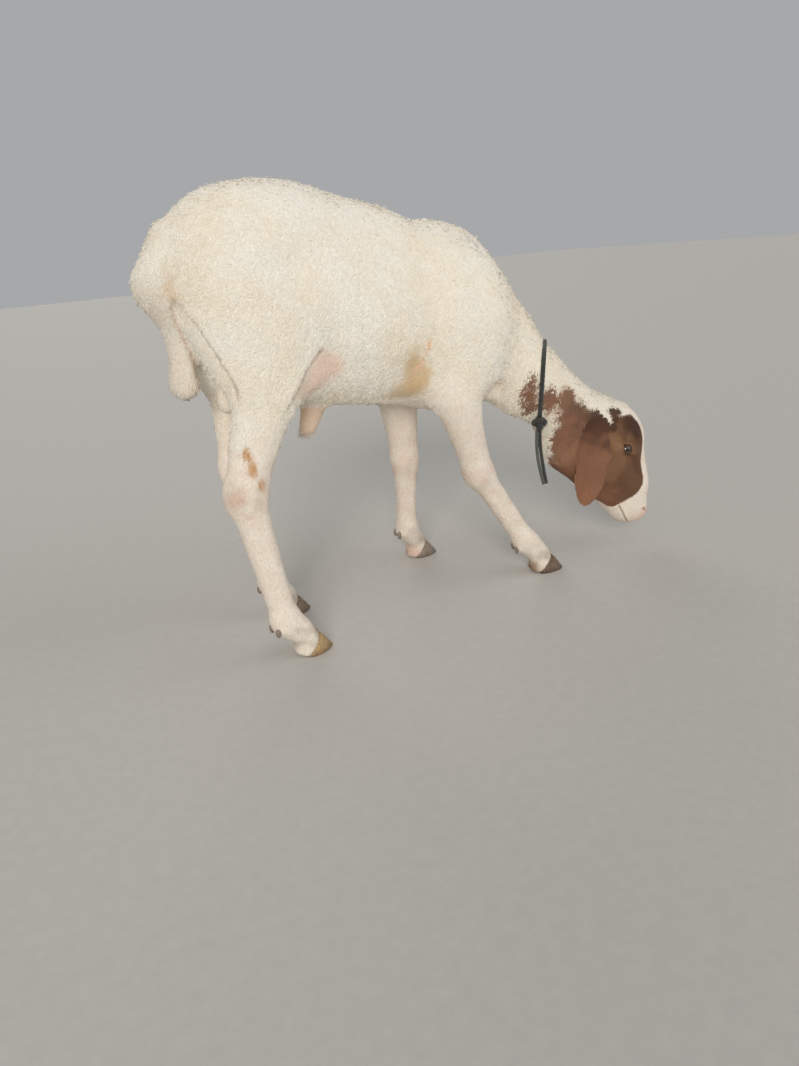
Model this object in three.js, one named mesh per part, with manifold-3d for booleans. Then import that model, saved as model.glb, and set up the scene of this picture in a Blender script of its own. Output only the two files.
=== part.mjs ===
// A young ram of a lop-eared, short-woolled sheep breed, life size, feeding with its head low.
// Millimetres, +Z up, +X forward, +Y to the animal's left. The floor is z = 0.
//
// The whole animal is one smooth field of muscles and bones. Each part of the body is that
// field, meshed in its own stretch of space and trimmed by flat cuts, so that neighbours
// meet face to face. Horn, eyes, ears and the collar are made separately and set in.

import * as THREE from "three";
import { mergeVertices } from "three/addons/utils/BufferGeometryUtils.js";
import Module from "manifold-3d";

const wasm = await Module();
wasm.setup();

const RIGHT = -1;
const LEFT = 1;
const GAP = 0.4; // between two parts that meet
const at = (x, y, z) => new THREE.Vector3(x, y, z);
const radians = THREE.MathUtils.degToRad;

// ---------------------------------------------------------------- driving sizes

const head = {
  origin: at(430, -82, 264), // the middle of the poll
  pitch: 66, // degrees below level
  yaw: -30, // degrees, turned to its right
};
const eye = { centre: at(78, 40, -7), radius: 12.5 }; // in the head's own axes, as the ear is
const ear = {
  // down its middle, from the root to the tip: along the face, to the side, up from the face
  route: [
    at(8, 34, -16), at(3, 50, -24), at(12, 61, -36), at(47, 65, -58), at(91, 65, -85), at(131, 62, -117),
  ],
  across: at(0.57, 0, 0.82), // the way its width lies
  swing: { right: 0, left: 15 }, // degrees forwards, about the root
  width: 64,
  thickness: 5,
  cup: 9,
};
const tail = {
  root: at(-268, 0, 582),
  bend: at(-306, 0, 540),
  neck: at(-286, 0, 468),
  knob: at(-293, 0, 408),
};
const collar = {
  centre: at(331, -29, 300),
  facing: at(0.72, -0.67, -0.09), // the way that its plane faces
  width: 8,
  thickness: 4.5,
};
const looseEnd = { diameter: 6.5 };
const claw = { length: 61, width: 22.5, split: 1.2 }; // one of the two on a foot, and half the split
const sole = { back: 18 }; // how far it reaches behind the middle of the foot
const coronet = { height: 24, rise: 0.38, reach: 21 }; // where horn meets hair, higher at the toe
const dewclaw = { radii: at(8, 7, 11), tip: 25, place: at(-20, 11, -9) }; // placed from the fetlock

// The legs, joint by joint, as they stand.
const foreRight = {
  name: "front_right",
  side: RIGHT,
  shoulder: at(150, -76, 440),
  elbow: at(108, -74, 338),
  knee: at(141, -79, 204),
  fetlock: at(227, -92, 63),
  foot: at(257, -94, 30),
  toeOut: -24,
};
const foreLeft = {
  name: "front_left",
  side: LEFT,
  shoulder: at(138, 76, 440),
  elbow: at(96, 76, 338),
  knee: at(111, 91, 203),
  fetlock: at(119, 117, 66),
  foot: at(142, 128, 30),
  toeOut: -14,
};
const hindRight = {
  name: "hind_right",
  side: RIGHT,
  hip: at(-196, -62, 500),
  stifle: at(-212, -80, 398),
  hock: at(-263, -80, 260),
  fetlock: at(-231, -82, 62),
  foot: at(-203, -82, 30),
  toeOut: 0,
};
const hindLeft = {
  name: "hind_left",
  side: LEFT,
  hip: at(-188, 62, 500),
  stifle: at(-184, 82, 398),
  hock: at(-208, 74, 260),
  fetlock: at(-184, 66, 62),
  foot: at(-165, 64, 30),
  toeOut: 0,
};

// ---------------------------------------------------------------- shapes as fields
// Each gives the distance of a point from its surface, less than 0 inside.

// A tapering limb from a to b. Across the axis `flatAxis` it is `flat` times as wide.
function limb(a, b, radiusA, radiusB, flat = 1, flatAxis = at(0, 1, 0)) {
  const squeeze = (p) => {
    const off = (p.x - a.x) * flatAxis.x + (p.y - a.y) * flatAxis.y + (p.z - a.z) * flatAxis.z;
    const push = (1 / flat - 1) * off;
    return [p.x + push * flatAxis.x, p.y + push * flatAxis.y, p.z + push * flatAxis.z];
  };
  const [bx, by, bz] = squeeze(b);
  const dx = bx - a.x;
  const dy = by - a.y;
  const dz = bz - a.z;
  const length2 = dx * dx + dy * dy + dz * dz;
  const slope = radiusA - radiusB;
  const side2 = length2 - slope * slope;
  return (p) => {
    const [px, py, pz] = squeeze(p);
    const ax = px - a.x;
    const ay = py - a.y;
    const az = pz - a.z;
    const y = ax * dx + ay * dy + az * dz;
    const z = y - length2;
    const qx = ax * length2 - dx * y;
    const qy = ay * length2 - dy * y;
    const qz = az * length2 - dz * y;
    const x2 = qx * qx + qy * qy + qz * qz;
    const y2 = y * y * length2;
    const z2 = z * z * length2;
    const k = Math.sign(slope) * slope * slope * x2;
    if (Math.sign(z) * side2 * z2 > k) return Math.sqrt(x2 + z2) / length2 - radiusB;
    if (Math.sign(y) * side2 * y2 < k) return Math.sqrt(x2 + y2) / length2 - radiusA;
    return (Math.sqrt((x2 * side2) / length2) + y * slope) / length2 - radiusA;
  };
}

// An ellipsoid, tipped by `tip` degrees about the Y axis, nose down.
function bulge(centre, radii, tip = 0) {
  const c = Math.cos(radians(tip));
  const s = Math.sin(radians(tip));
  return (p) => {
    const dx = p.x - centre.x;
    const dy = p.y - centre.y;
    const dz = p.z - centre.z;
    const x = (dx * c - dz * s) / radii.x;
    const y = dy / radii.y;
    const z = (dx * s + dz * c) / radii.z;
    const k0 = Math.hypot(x, y, z);
    const k1 = Math.hypot(x / radii.x, y / radii.y, z / radii.z);
    return k1 < 1e-9 ? -Math.min(radii.x, radii.y, radii.z) : (k0 * (k0 - 1)) / k1;
  };
}

// Joins shapes one after another, each with its own soft fillet.
function melt(parts) {
  return (p) => {
    let d = 1e6;
    for (const [soft, shape] of parts) {
      const e = shape(p);
      const h = Math.max(soft - Math.abs(d - e), 0) / soft;
      d = Math.min(d, e) - (h * h * soft) / 4;
    }
    return d;
  };
}

// ---------------------------------------------------------------- the head, in its own axes

const headFrame = new THREE.Matrix4().compose(
  head.origin,
  new THREE.Quaternion().setFromEuler(new THREE.Euler(0, radians(head.pitch), radians(head.yaw), "ZYX")),
  at(1, 1, 1),
);
const toHead = headFrame.clone().invert();
const both = (make) => [RIGHT, LEFT].map(make);

function headShape() {
  return melt([
    [20, bulge(at(50, 0, -10), at(59, 48, 53))], // cranium
    [24, limb(at(76, 0, 0), at(160, 0, -13), 38, 30, 0.86)], // bridge of the nose
    [20, bulge(at(199, 0, -31), at(30, 29, 28))], // muzzle
    ...both((s) => [18, bulge(at(74, s * 33, -3), at(27, 16, 20))]), // brow and orbit
    ...both((s) => [24, bulge(at(138, s * 18, -30), at(48, 20, 33))]), // side of the face
    ...both((s) => [24, bulge(at(76, s * 27, -54), at(52, 23, 48))]), // cheek
    ...both((s) => [20, limb(at(62, s * 18, -88), at(184, s * 8, -54), 30, 17)]), // jaw
    ...both((s) => [24, bulge(at(26, s * 20, -84), at(38, 26, 38))]), // corner of the jaw
    [16, bulge(at(198, 0, -53), at(20, 21, 14))], // chin
    [30, bulge(at(18, 0, -67), at(56, 42, 68))], // throat
  ]);
}

// ---------------------------------------------------------------- the body

function trunkShape() {
  return [
    [40, bulge(at(-183, 0, 538), at(134, 100, 124))], // pelvis
    [40, limb(at(-120, 0, 492), at(90, 0, 454), 138, 136, 0.81)], // ribs and belly
    [30, limb(at(-126, 0, 561), at(10, 0, 541), 97, 82)], // loin
    [40, bulge(at(138, 0, 438), at(98, 84, 136))], // chest
    [24, limb(at(132, 0, 562), at(180, 0, 548), 35, 34)], // withers
    ...both((s) => [40, bulge(at(148, s * 58, 440), at(56, 34, 112), -14)]), // shoulder blade
    ...both((s) => [40, bulge(at(-208, s * 58, 470), at(76, 44, 112), -12)]), // thigh
    [30, bulge(at(185, 0, 352), at(52, 46, 46))], // brisket
  ];
}

function neckShape() {
  return [
    [40, limb(at(170, 0, 449), at(240, -6, 391), 98, 79, 0.88)],
    [16, limb(at(240, -6, 391), at(300, -20, 328), 77, 65, 0.88)],
    [16, limb(at(300, -20, 328), at(392, -62, 246), 65, 47, 0.88)],
  ];
}

function foreLegShape(leg) {
  return [
    [40, limb(leg.shoulder, leg.elbow, 56, 38, 0.7)],
    [14, limb(leg.elbow, leg.knee, 36, 23)],
    [12, bulge(leg.knee, at(27, 24, 30))],
    [10, limb(leg.knee, leg.fetlock, 22, 19)],
    [10, bulge(leg.fetlock, at(25, 23, 23))],
    [8, limb(leg.fetlock, leg.foot, 20, 21)],
  ];
}

function hindLegShape(leg) {
  return [
    [40, limb(leg.hip, leg.stifle, 70, 45, 0.66)],
    [14, limb(leg.stifle, leg.hock, 45, 28, 0.74)],
    [14, bulge(leg.hock, at(32, 23, 36))],
    [10, limb(leg.hock, leg.fetlock, 26, 20, 0.85)],
    [10, bulge(leg.fetlock, at(26, 23, 24))],
    [8, limb(leg.fetlock, leg.foot, 21, 22)],
  ];
}

const headField = headShape();
const inHead = at(0, 0, 0);
const animal = melt([
  ...trunkShape(),
  ...neckShape(),
  [30, (p) => headField(inHead.copy(p).applyMatrix4(toHead))],
  ...foreLegShape(foreRight),
  ...foreLegShape(foreLeft),
  ...hindLegShape(hindRight),
  ...hindLegShape(hindLeft),
]);

const tailField = melt([
  [1, limb(tail.root, tail.bend, 42, 30)],
  [20, limb(tail.bend, tail.neck, 28, 18)],
  [16, limb(tail.neck, tail.knob, 17, 21)],
]);
const scrotumField = limb(at(-228, 0, 415), at(-234, 0, 374), 20, 17);
const sheathField = limb(at(-101, 0, 352), at(-117, 0, 316), 20, 15);

// ---------------------------------------------------------------- meshing a field

// Points on the surface of a field inside the box low..high, one for each cell that it
// crosses, joined into quads. `cell` is the size of a cell.
function skinOf(field, low, high, cell) {
  const past = (p, axis) => Math.max(low[axis] - p[axis], p[axis] - high[axis]);
  const boxed = (p) => Math.max(field(p), past(p, "x"), past(p, "y"), past(p, "z"));
  const from = low.clone().sub(cell);
  const n = high.clone().sub(from).divide(cell).ceil().addScalar(2);
  const index = (i, j, k) => (k * n.y + j) * n.x + i;
  const value = new Float64Array(n.x * n.y * n.z);
  const p = at(0, 0, 0);
  for (let k = 0; k < n.z; k++)
    for (let j = 0; j < n.y; j++)
      for (let i = 0; i < n.x; i++)
        value[index(i, j, k)] = boxed(p.set(i, j, k).multiply(cell).add(from));

  const corners = [0, 1, 2, 3, 4, 5, 6, 7].map((c) => [c & 1, (c >> 1) & 1, c >> 2]);
  const edges = [];
  corners.forEach((a, i) =>
    corners.forEach((b, j) => {
      if (i < j && Math.abs(a[0] - b[0]) + Math.abs(a[1] - b[1]) + Math.abs(a[2] - b[2]) === 1)
        edges.push([a, b]);
    }),
  );
  const places = [];
  const cellPoint = new Int32Array(value.length).fill(-1);
  for (let k = 0; k < n.z - 1; k++)
    for (let j = 0; j < n.y - 1; j++)
      for (let i = 0; i < n.x - 1; i++) {
        const sum = at(0, 0, 0);
        let count = 0;
        for (const [a, b] of edges) {
          const va = value[index(i + a[0], j + a[1], k + a[2])];
          const vb = value[index(i + b[0], j + b[1], k + b[2])];
          if (va < 0 === vb < 0) continue;
          const t = va / (va - vb);
          sum.add(at(i, j, k).add(at(...a).lerp(at(...b), t)));
          count++;
        }
        if (!count) continue;
        cellPoint[index(i, j, k)] = places.length;
        places.push(settle(boxed, sum.divideScalar(count).multiply(cell).add(from)));
      }

  const faces = [];
  const quad = (a, b, c, d, flip) => {
    const [q, r, s, t] = flip ? [d, c, b, a] : [a, b, c, d];
    const short = places[q].distanceTo(places[s]) < places[r].distanceTo(places[t]);
    faces.push(...(short ? [q, r, s, q, s, t] : [q, r, t, r, s, t]));
  };
  for (let k = 1; k < n.z - 1; k++)
    for (let j = 1; j < n.y - 1; j++)
      for (let i = 1; i < n.x - 1; i++) {
        const inside = value[index(i, j, k)] < 0;
        const cellAt = (a, b, c) => cellPoint[index(i - a, j - b, k - c)];
        if (inside !== value[index(i + 1, j, k)] < 0)
          quad(cellAt(0, 1, 1), cellAt(0, 0, 1), cellAt(0, 0, 0), cellAt(0, 1, 0), !inside);
        if (inside !== value[index(i, j + 1, k)] < 0)
          quad(cellAt(1, 0, 1), cellAt(1, 0, 0), cellAt(0, 0, 0), cellAt(0, 0, 1), !inside);
        if (inside !== value[index(i, j, k + 1)] < 0)
          quad(cellAt(1, 1, 0), cellAt(0, 1, 0), cellAt(0, 0, 0), cellAt(1, 0, 0), !inside);
      }
  return geometryFrom(places, faces);
}

function geometryFrom(places, faces) {
  const geometry = new THREE.BufferGeometry();
  const numbers = places.flatMap((p) => p.toArray());
  geometry.setAttribute("position", new THREE.Float32BufferAttribute(numbers, 3));
  geometry.setIndex(faces);
  return geometry;
}

// Moves a point onto the surface of a field, down its slope.
function settle(field, p) {
  const step = 0.5;
  const q = at(0, 0, 0);
  for (let turn = 0; turn < 3; turn++) {
    const d = field(p);
    const slope = at(
      field(q.copy(p).setX(p.x + step)) - field(q.copy(p).setX(p.x - step)),
      field(q.copy(p).setY(p.y + step)) - field(q.copy(p).setY(p.y - step)),
      field(q.copy(p).setZ(p.z + step)) - field(q.copy(p).setZ(p.z - step)),
    ).divideScalar(2 * step);
    const steep = Math.max(slope.lengthSq(), 0.25);
    p.addScaledVector(slope, -d / steep);
  }
  return p;
}

// ---------------------------------------------------------------- solids

function solidOf(geometry) {
  const bare = geometry.clone();
  bare.deleteAttribute("normal");
  bare.deleteAttribute("uv");
  const merged = mergeVertices(bare, 1e-4);
  return new wasm.Manifold(
    new wasm.Mesh({
      numProp: 3,
      vertProperties: new Float32Array(merged.attributes.position.array),
      triVerts: new Uint32Array(merged.index.array),
    }),
  );
}

function geometryOf(solid) {
  const mesh = solid.getMesh();
  const places = [];
  for (let i = 0; i < mesh.numVert; i++)
    places.push(...mesh.vertProperties.subarray(i * mesh.numProp, i * mesh.numProp + 3));
  const geometry = new THREE.BufferGeometry();
  geometry.setAttribute("position", new THREE.Float32BufferAttribute(places, 3));
  geometry.setIndex(Array.from(mesh.triVerts));
  return geometry;
}

// Everything past a plane through `point`, on the side that `direction` points to.
function beyond([point, direction], shift = 0) {
  const size = 2400;
  const block = new THREE.BoxGeometry(size, size, size).translate(0, 0, size / 2 + shift);
  const turn = new THREE.Quaternion().setFromUnitVectors(at(0, 0, 1), direction.clone().normalize());
  return solidOf(block.applyQuaternion(turn).translate(point.x, point.y, point.z));
}

// Rings of the same number of points, skinned one to the next. Open rings are capped; a
// closed loft joins the last ring to the first.
function loft(rings, closed = false) {
  const n = rings[0].length;
  const places = rings.flat();
  const faces = [];
  const last = closed ? rings.length : rings.length - 1;
  for (let r = 0; r < last; r++)
    for (let i = 0; i < n; i++) {
      const a = r * n + i;
      const b = r * n + ((i + 1) % n);
      const c = ((r + 1) % rings.length) * n + i;
      const d = ((r + 1) % rings.length) * n + ((i + 1) % n);
      faces.push(a, b, d, a, d, c);
    }
  if (!closed)
    [rings[0], rings.at(-1)].forEach((ring, end) => {
      const middle = ring.reduce((sum, p) => sum.add(p), at(0, 0, 0)).divideScalar(n);
      const hub = places.push(middle) - 1;
      const start = end ? (rings.length - 1) * n : 0;
      for (let i = 0; i < n; i++) {
        const pair = [start + i, start + ((i + 1) % n)];
        faces.push(hub, ...(end ? pair : pair.reverse()));
      }
    });
  const geometry = geometryFrom(places, faces);
  const solid = solidOf(geometry);
  if (solid.volume() > 0) return solid;
  geometry.setIndex(faces.reverse()); // its rings ran the other way round
  return solidOf(geometry);
}

const flesh = (field, low, high, cell) => solidOf(skinOf(field, low, high, cell));
const less = (solid, others) => others.reduce((rest, other) => rest.subtract(other), solid);

// A convex block between planes that face outwards from it, let out by `shift`.
function blockOf(planes, shift = 0) {
  const back = planes.map(([point, direction]) => [point, direction.clone().negate()]);
  const spaces = back.map((plane) => beyond(plane, -shift));
  return spaces.reduce((block, space) => block.intersect(space));
}

// ---------------------------------------------------------------- where the body is parted
// A plane is a point and the way it faces.

const neckBase = [at(235, -5, 410), at(0.9, -0.08, -0.43)];
const neckTop = [at(388, -60, 240), at(0.68, -0.34, -0.65)];
const pastPlane = (plane) => beyond(plane, -GAP / 2);
const beforePlane = ([point, direction]) => pastPlane([point, direction.clone().negate()]);

const ahead = (leg) => at(Math.cos(radians(leg.toeOut)), Math.sin(radians(leg.toeOut)), 0);

function coronetPlane(leg) {
  return [at(leg.foot.x, leg.foot.y, coronet.height), ahead(leg).multiplyScalar(coronet.rise).setZ(-1)];
}

// The space that belongs to a leg, between planes that face out of it.
function foreLegPlanes(leg) {
  return [
    [at(110, 0, 352), at(0.1, 0, 1)],
    [at(0, leg.side * 36, 0), at(0, -leg.side, 0)],
    [at(215, 0, 352), at(0.93, 0, 0.37)],
    [at(52, 0, 352), at(-1, 0, 0)],
  ];
}

function hindLegPlanes(leg) {
  return [
    [at(-200, 0, 374), at(-0.15, 0, 1)],
    [at(0, leg.side * 36, 0), at(0, -leg.side, 0)],
    [at(-150, 0, 372), at(0.99, 0, 0.13)],
  ];
}

// ---------------------------------------------------------------- flesh

const trunkGrid = [at(-350, -160, 255), at(345, 160, 690), at(38, 28, 36)];
const neckGrid = [at(140, -150, 160), at(450, 110, 520), at(28, 27, 28)];
const headGrid = [at(320, -190, 30), at(570, 20, 330), at(13.8, 13.8, 13.8)];
const clearance = 1.5; // how far a piece that grows out of a coarser one stays off it

const legBlocks = [
  ...[foreRight, foreLeft].map((leg) => blockOf(foreLegPlanes(leg), GAP)),
  ...[hindRight, hindLeft].map((leg) => blockOf(hindLegPlanes(leg), GAP)),
];
const standOff = (p) => animal(p) - clearance;
const trunkJacket = flesh(standOff, ...trunkGrid);
const neckJacket = flesh(standOff, ...neckGrid);
const headJacket = flesh(standOff, ...headGrid);

const trunk = () => less(flesh(animal, ...trunkGrid), [pastPlane(neckBase), ...legBlocks]);

function neck() {
  const whole = flesh(animal, ...neckGrid);
  return less(whole, [beforePlane(neckBase), pastPlane(neckTop), ...legBlocks, collarBand(GAP)]);
}

function headSolid() {
  const sockets = both((s) => eyeBall(s, GAP));
  return less(flesh(animal, ...headGrid), [beforePlane(neckTop), ...sockets]);
}

function legSolid(leg, shape, planes, [low, high, cell]) {
  const whole = flesh(melt([...trunkShape(), ...shape(leg)]), low, high, cell);
  return less(whole.intersect(blockOf([...planes(leg), coronetPlane(leg)])), dewclaws(leg, GAP));
}

// A piece that grows out of the trunk.
const onTrunk = (field, low, high, cell) => flesh(field, low, high, cell).subtract(trunkJacket);
const tailSolid = () => onTrunk(tailField, at(-360, -60, 370), at(-220, 60, 640), at(16, 13, 18));
const scrotum = () => onTrunk(scrotumField, at(-270, -30, 340), at(-190, 30, 450), at(12, 12, 14));
const sheath = () => onTrunk(sheathField, at(-140, -30, 290), at(-60, 30, 380), at(11, 11, 11));

// A hanging ear: a leaf, cupped towards the cheek, gathered to a stalk at its root.
function earSolid(side, swing) {
  const root = ear.route[0];
  const forwards = (p) => p.clone().applyAxisAngle(at(0, -1, 0), radians(swing));
  const route = ear.route.map((p) => forwards(p.clone().sub(root)).add(root));
  const line = new THREE.CatmullRomCurve3(route.map((p) => at(p.x, side * p.y, p.z)));
  const rings = [];
  const steps = 11;
  for (let i = 0; i <= steps; i++) {
    const t = 1 - (1 - i / steps) ** 1.5; // closer towards the tip
    const spread = Math.min(1, 0.36 + 1.5 * t) * Math.sqrt(1 - Math.max(0, (t - 0.55) / 0.452) ** 2.4);
    const thick = ear.thickness * (1 + 1.6 * Math.max(0, 1 - t / 0.25)) * Math.min(1, 0.35 + 3 * (1 - t));
    const along = line.getTangentAt(t);
    const across = forwards(ear.across);
    across.addScaledVector(along, -along.dot(across)).normalize();
    const out = across.clone().cross(along).multiplyScalar(side).normalize();
    const ring = [];
    for (let k = 0; k < 10; k++) {
      const turn = (2 * Math.PI * k) / 10;
      const x = (ear.width / 2) * spread * Math.cos(turn);
      const cup = ear.cup * spread * Math.cos(turn) ** 2 * Math.min(1, 3 * t);
      const p = line.getPointAt(t).addScaledVector(across, x);
      ring.push(p.addScaledVector(out, (thick / 2) * Math.sin(turn) - cup).applyMatrix4(headFrame));
    }
    rings.push(ring);
  }
  return less(loft(rings), [headJacket, neckJacket]);
}

// ---------------------------------------------------------------- eyes, horn

function eyeBall(side, extra = 0) {
  const place = at(eye.centre.x, side * eye.centre.y, eye.centre.z).applyMatrix4(headFrame);
  const ball = new THREE.SphereGeometry(eye.radius + extra, 12, 8);
  return solidOf(ball.translate(place.x, place.y, place.z));
}

// Half of a cloven hoof, with its flat sole on the floor.
function clawSolid(leg, half) {
  const turn = new THREE.Matrix4().makeRotationZ(radians(leg.toeOut));
  turn.setPosition(leg.foot.x, leg.foot.y, 0);
  const outline = (heel, toe, width, height) => {
    const ring = [];
    const add = (u, y) => {
      const x = heel + (toe - heel) * u;
      ring.push(at(x, half * y, height(x)));
    };
    for (let i = 0; i <= 8; i++)
      add(i / 8, claw.split + (width - claw.split) * Math.sin(Math.PI * (i / 8) ** 0.75) ** 0.6);
    for (let i = 3; i > 0; i--) add(i / 4, claw.split);
    return ring;
  };
  const foot = outline(-sole.back, claw.length - sole.back, claw.width, () => 0);
  const crown = (x) => coronet.height - GAP + coronet.rise * x;
  const top = outline(-coronet.reach, coronet.reach, claw.width - 2, crown);
  const heelBulb = 3;
  const rings = [0, 0.5, 1].map((up) =>
    foot.map((p, i) => {
      const heel = Math.max(0, -p.x / sole.back) * heelBulb * Math.sin(Math.PI * up);
      return p.clone().lerp(top[i], up).add(at(-heel, 0, 0)).applyMatrix4(turn);
    }),
  );
  return loft(rings);
}

function dewclaws(leg, extra = 0) {
  return [RIGHT, LEFT].map((half) => {
    const r = dewclaw.radii.clone().addScalar(extra);
    const ball = new THREE.SphereGeometry(1, 6, 5).scale(r.x, r.y, r.z).rotateY(radians(dewclaw.tip));
    const place = dewclaw.place.clone().multiply(at(1, half, 1));
    place.applyAxisAngle(at(0, 0, 1), radians(leg.toeOut)).add(leg.fetlock);
    return solidOf(ball.translate(place.x, place.y, place.z));
  });
}

// ---------------------------------------------------------------- the collar

const collarAxis = collar.facing.clone().normalize();
const upwards = at(0, 0, 1).addScaledVector(collarAxis, -collarAxis.z).normalize();
const rightwards = collarAxis.clone().cross(upwards);

// The way out from the middle of the collar, `degrees` round from the nape by the right side.
function outwards(degrees) {
  return upwards.clone().multiplyScalar(Math.cos(radians(degrees)))
    .addScaledVector(rightwards, Math.sin(radians(degrees)));
}

// Where that way leaves the neck.
function neckEdge(degrees) {
  const way = outwards(degrees);
  let [inside, outside] = [10, 130];
  for (let turn = 0; turn < 20; turn++) {
    const middle = (inside + outside) / 2;
    if (animal(collar.centre.clone().addScaledVector(way, middle)) < 0) inside = middle;
    else outside = middle;
  }
  return collar.centre.clone().addScaledVector(way, inside);
}

function collarBand(extra = 0) {
  const rings = [];
  const step = 15; // degrees
  for (let turned = 0; turned < 360; turned += step) {
    const way = outwards(turned);
    const ring = [];
    for (let k = 0; k < 6; k++) {
      const turn = (2 * Math.PI * k) / 6;
      ring.push(
        neckEdge(turned).addScaledVector(way, (collar.thickness / 2 + extra) * Math.sin(turn))
          .addScaledVector(collarAxis, (collar.width / 2 + extra) * Math.cos(turn)),
      );
    }
    rings.push(ring);
  }
  return loft(rings, true);
}

const knotPlace = neckEdge(134).addScaledVector(outwards(134), 5);

function collarKnot() {
  const lump = (x, y, z, r) => [5, bulge(at(x, y, z).add(knotPlace), r)];
  const field = melt([
    lump(0, 0, 3, at(13, 12, 10)),
    lump(-3, -3, -6, at(10, 10, 9)),
    lump(5, 2, 8, at(9, 9, 7)),
  ]);
  const half = at(24, 24, 24);
  const lumps = flesh(field, knotPlace.clone().sub(half), knotPlace.clone().add(half), at(8, 8, 8));
  return less(lumps, [collarBand(GAP), neckJacket]);
}

// The two loose ends, which hang from the knot: straight down out of it, then a little apart.
const looseEnds = {
  rear: [
    at(288.5, -62, 241), at(288, -62, 234), at(287.4, -62, 227), at(286.9, -62.2, 220),
    at(286.6, -62.6, 213), at(286.6, -63, 206), at(286.9, -63.4, 199), at(287.5, -63.8, 192),
    at(288.4, -64.2, 185), at(289.5, -64.6, 178), at(290.8, -65, 171), at(292.2, -65.4, 164),
    at(293.8, -65.8, 157), at(295.5, -66.2, 150), at(297.3, -66.6, 143),
  ],
  front: [
    at(296.4, -61, 241), at(296.2, -61, 234), at(296, -61, 227), at(295.9, -61.2, 220),
    at(296, -61.5, 213), at(296.3, -61.8, 206), at(296.8, -62.1, 199), at(297.5, -62.4, 192),
    at(298.4, -62.7, 185), at(299.4, -63, 178), at(300.5, -63.2, 171), at(301.7, -63.4, 164),
    at(303, -63.6, 157), at(304.4, -63.8, 150), at(305.9, -64, 142),
  ],
};

function looseEndGeometry(route) {
  const section = new THREE.Shape();
  section.absarc(0, 0, looseEnd.diameter / 2, 0, 2 * Math.PI);
  return new THREE.ExtrudeGeometry(section, {
    extrudePath: new THREE.CatmullRomCurve3(route),
    steps: 7,
    curveSegments: 4,
    bevelEnabled: false,
  });
}

// ---------------------------------------------------------------- the model

const finish = (color, roughness) => new THREE.MeshStandardMaterial({ color, roughness, metalness: 0 });
const wool = finish(0xe9e2d2, 0.95);
const shortHair = finish(0xdcc9b4, 0.85);
const brownHair = finish(0x8a5539, 0.8);
const bareSkin = finish(0xd9a48c, 0.7);
const horn = finish(0x8d7350, 0.5);
const eyeGlass = finish(0x2a1a10, 0.1);
const cord = finish(0x23241f, 0.8);

const model = new THREE.Group();

function addPart(name, shape, material) {
  const mesh = new THREE.Mesh(shape.isBufferGeometry ? shape : geometryOf(shape), material);
  mesh.name = name;
  model.add(mesh);
}

const sides = [["right", RIGHT], ["left", LEFT]];

addPart("trunk", trunk(), wool);
addPart("neck", neck(), wool);
addPart("head", headSolid(), brownHair);
addPart("tail", tailSolid(), wool);
addPart("scrotum", scrotum(), wool);
addPart("sheath", sheath(), bareSkin);
for (const [name, side] of sides) {
  addPart(`ear_${name}`, earSolid(side, ear.swing[name]), brownHair);
  addPart(`eye_${name}`, eyeBall(side), eyeGlass);
}

const legGrids = {
  front_right: [at(45, -125, 10), at(300, -20, 375), at(16, 15, 30)],
  front_left: [at(45, 20, 10), at(240, 160, 375), at(16, 15, 30)],
  hind_right: [at(-320, -150, 10), at(-130, -20, 410), at(17, 15, 30)],
  hind_left: [at(-320, 20, 10), at(-100, 150, 410), at(17, 15, 30)],
};
for (const leg of [foreRight, foreLeft, hindRight, hindLeft]) {
  const fore = leg === foreRight || leg === foreLeft;
  const [shape, planes] = fore ? [foreLegShape, foreLegPlanes] : [hindLegShape, hindLegPlanes];
  addPart(`leg_${leg.name}`, legSolid(leg, shape, planes, legGrids[leg.name]), shortHair);
  for (const [name, half] of sides) addPart(`hoof_${leg.name}_${name}`, clawSolid(leg, half), horn);
  dewclaws(leg).forEach((ball, i) => addPart(`dewclaw_${leg.name}_${sides[i][0]}`, ball, horn));
}

addPart("collar", collarBand(), cord);
addPart("collar_knot", collarKnot(), cord);
for (const [name, route] of Object.entries(looseEnds))
  addPart(`collar_end_${name}`, looseEndGeometry(route), cord);

// The origin is on the floor, under the middle of the animal's box.
model.position.set(-85, -3, 0);

export default model;
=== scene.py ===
import math
import bpy
import numpy as np
from mathutils import Matrix, Vector
from mathutils.bvhtree import BVHTree
from mathutils.kdtree import KDTree


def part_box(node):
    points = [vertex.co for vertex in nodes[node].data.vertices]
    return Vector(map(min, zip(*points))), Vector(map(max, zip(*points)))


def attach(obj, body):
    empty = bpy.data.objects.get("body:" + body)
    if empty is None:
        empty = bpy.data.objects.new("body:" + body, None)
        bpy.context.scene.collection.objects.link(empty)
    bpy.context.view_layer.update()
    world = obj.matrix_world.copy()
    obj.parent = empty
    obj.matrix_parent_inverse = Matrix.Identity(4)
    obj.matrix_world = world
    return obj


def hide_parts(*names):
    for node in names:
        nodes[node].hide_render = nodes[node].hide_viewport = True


# A young lop-eared ram, feeding: skin, coat, eyes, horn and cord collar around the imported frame.
# Metres, +Z up, +X forward, +Y to the animal's left.

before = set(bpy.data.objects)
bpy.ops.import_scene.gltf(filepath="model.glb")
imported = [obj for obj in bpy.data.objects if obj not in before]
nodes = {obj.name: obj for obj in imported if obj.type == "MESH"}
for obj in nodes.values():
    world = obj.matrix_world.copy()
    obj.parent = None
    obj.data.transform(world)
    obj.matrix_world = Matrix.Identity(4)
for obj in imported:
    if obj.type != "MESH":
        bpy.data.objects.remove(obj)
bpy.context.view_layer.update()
mm = 0.001
lowest = 0.0003  # nothing soft comes nearer to the floor
eyes = (("eye_right", -1), ("eye_left", 1))  # with the sign of their side
earNodes = ("ear_right", "ear_left")


# small tools

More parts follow.
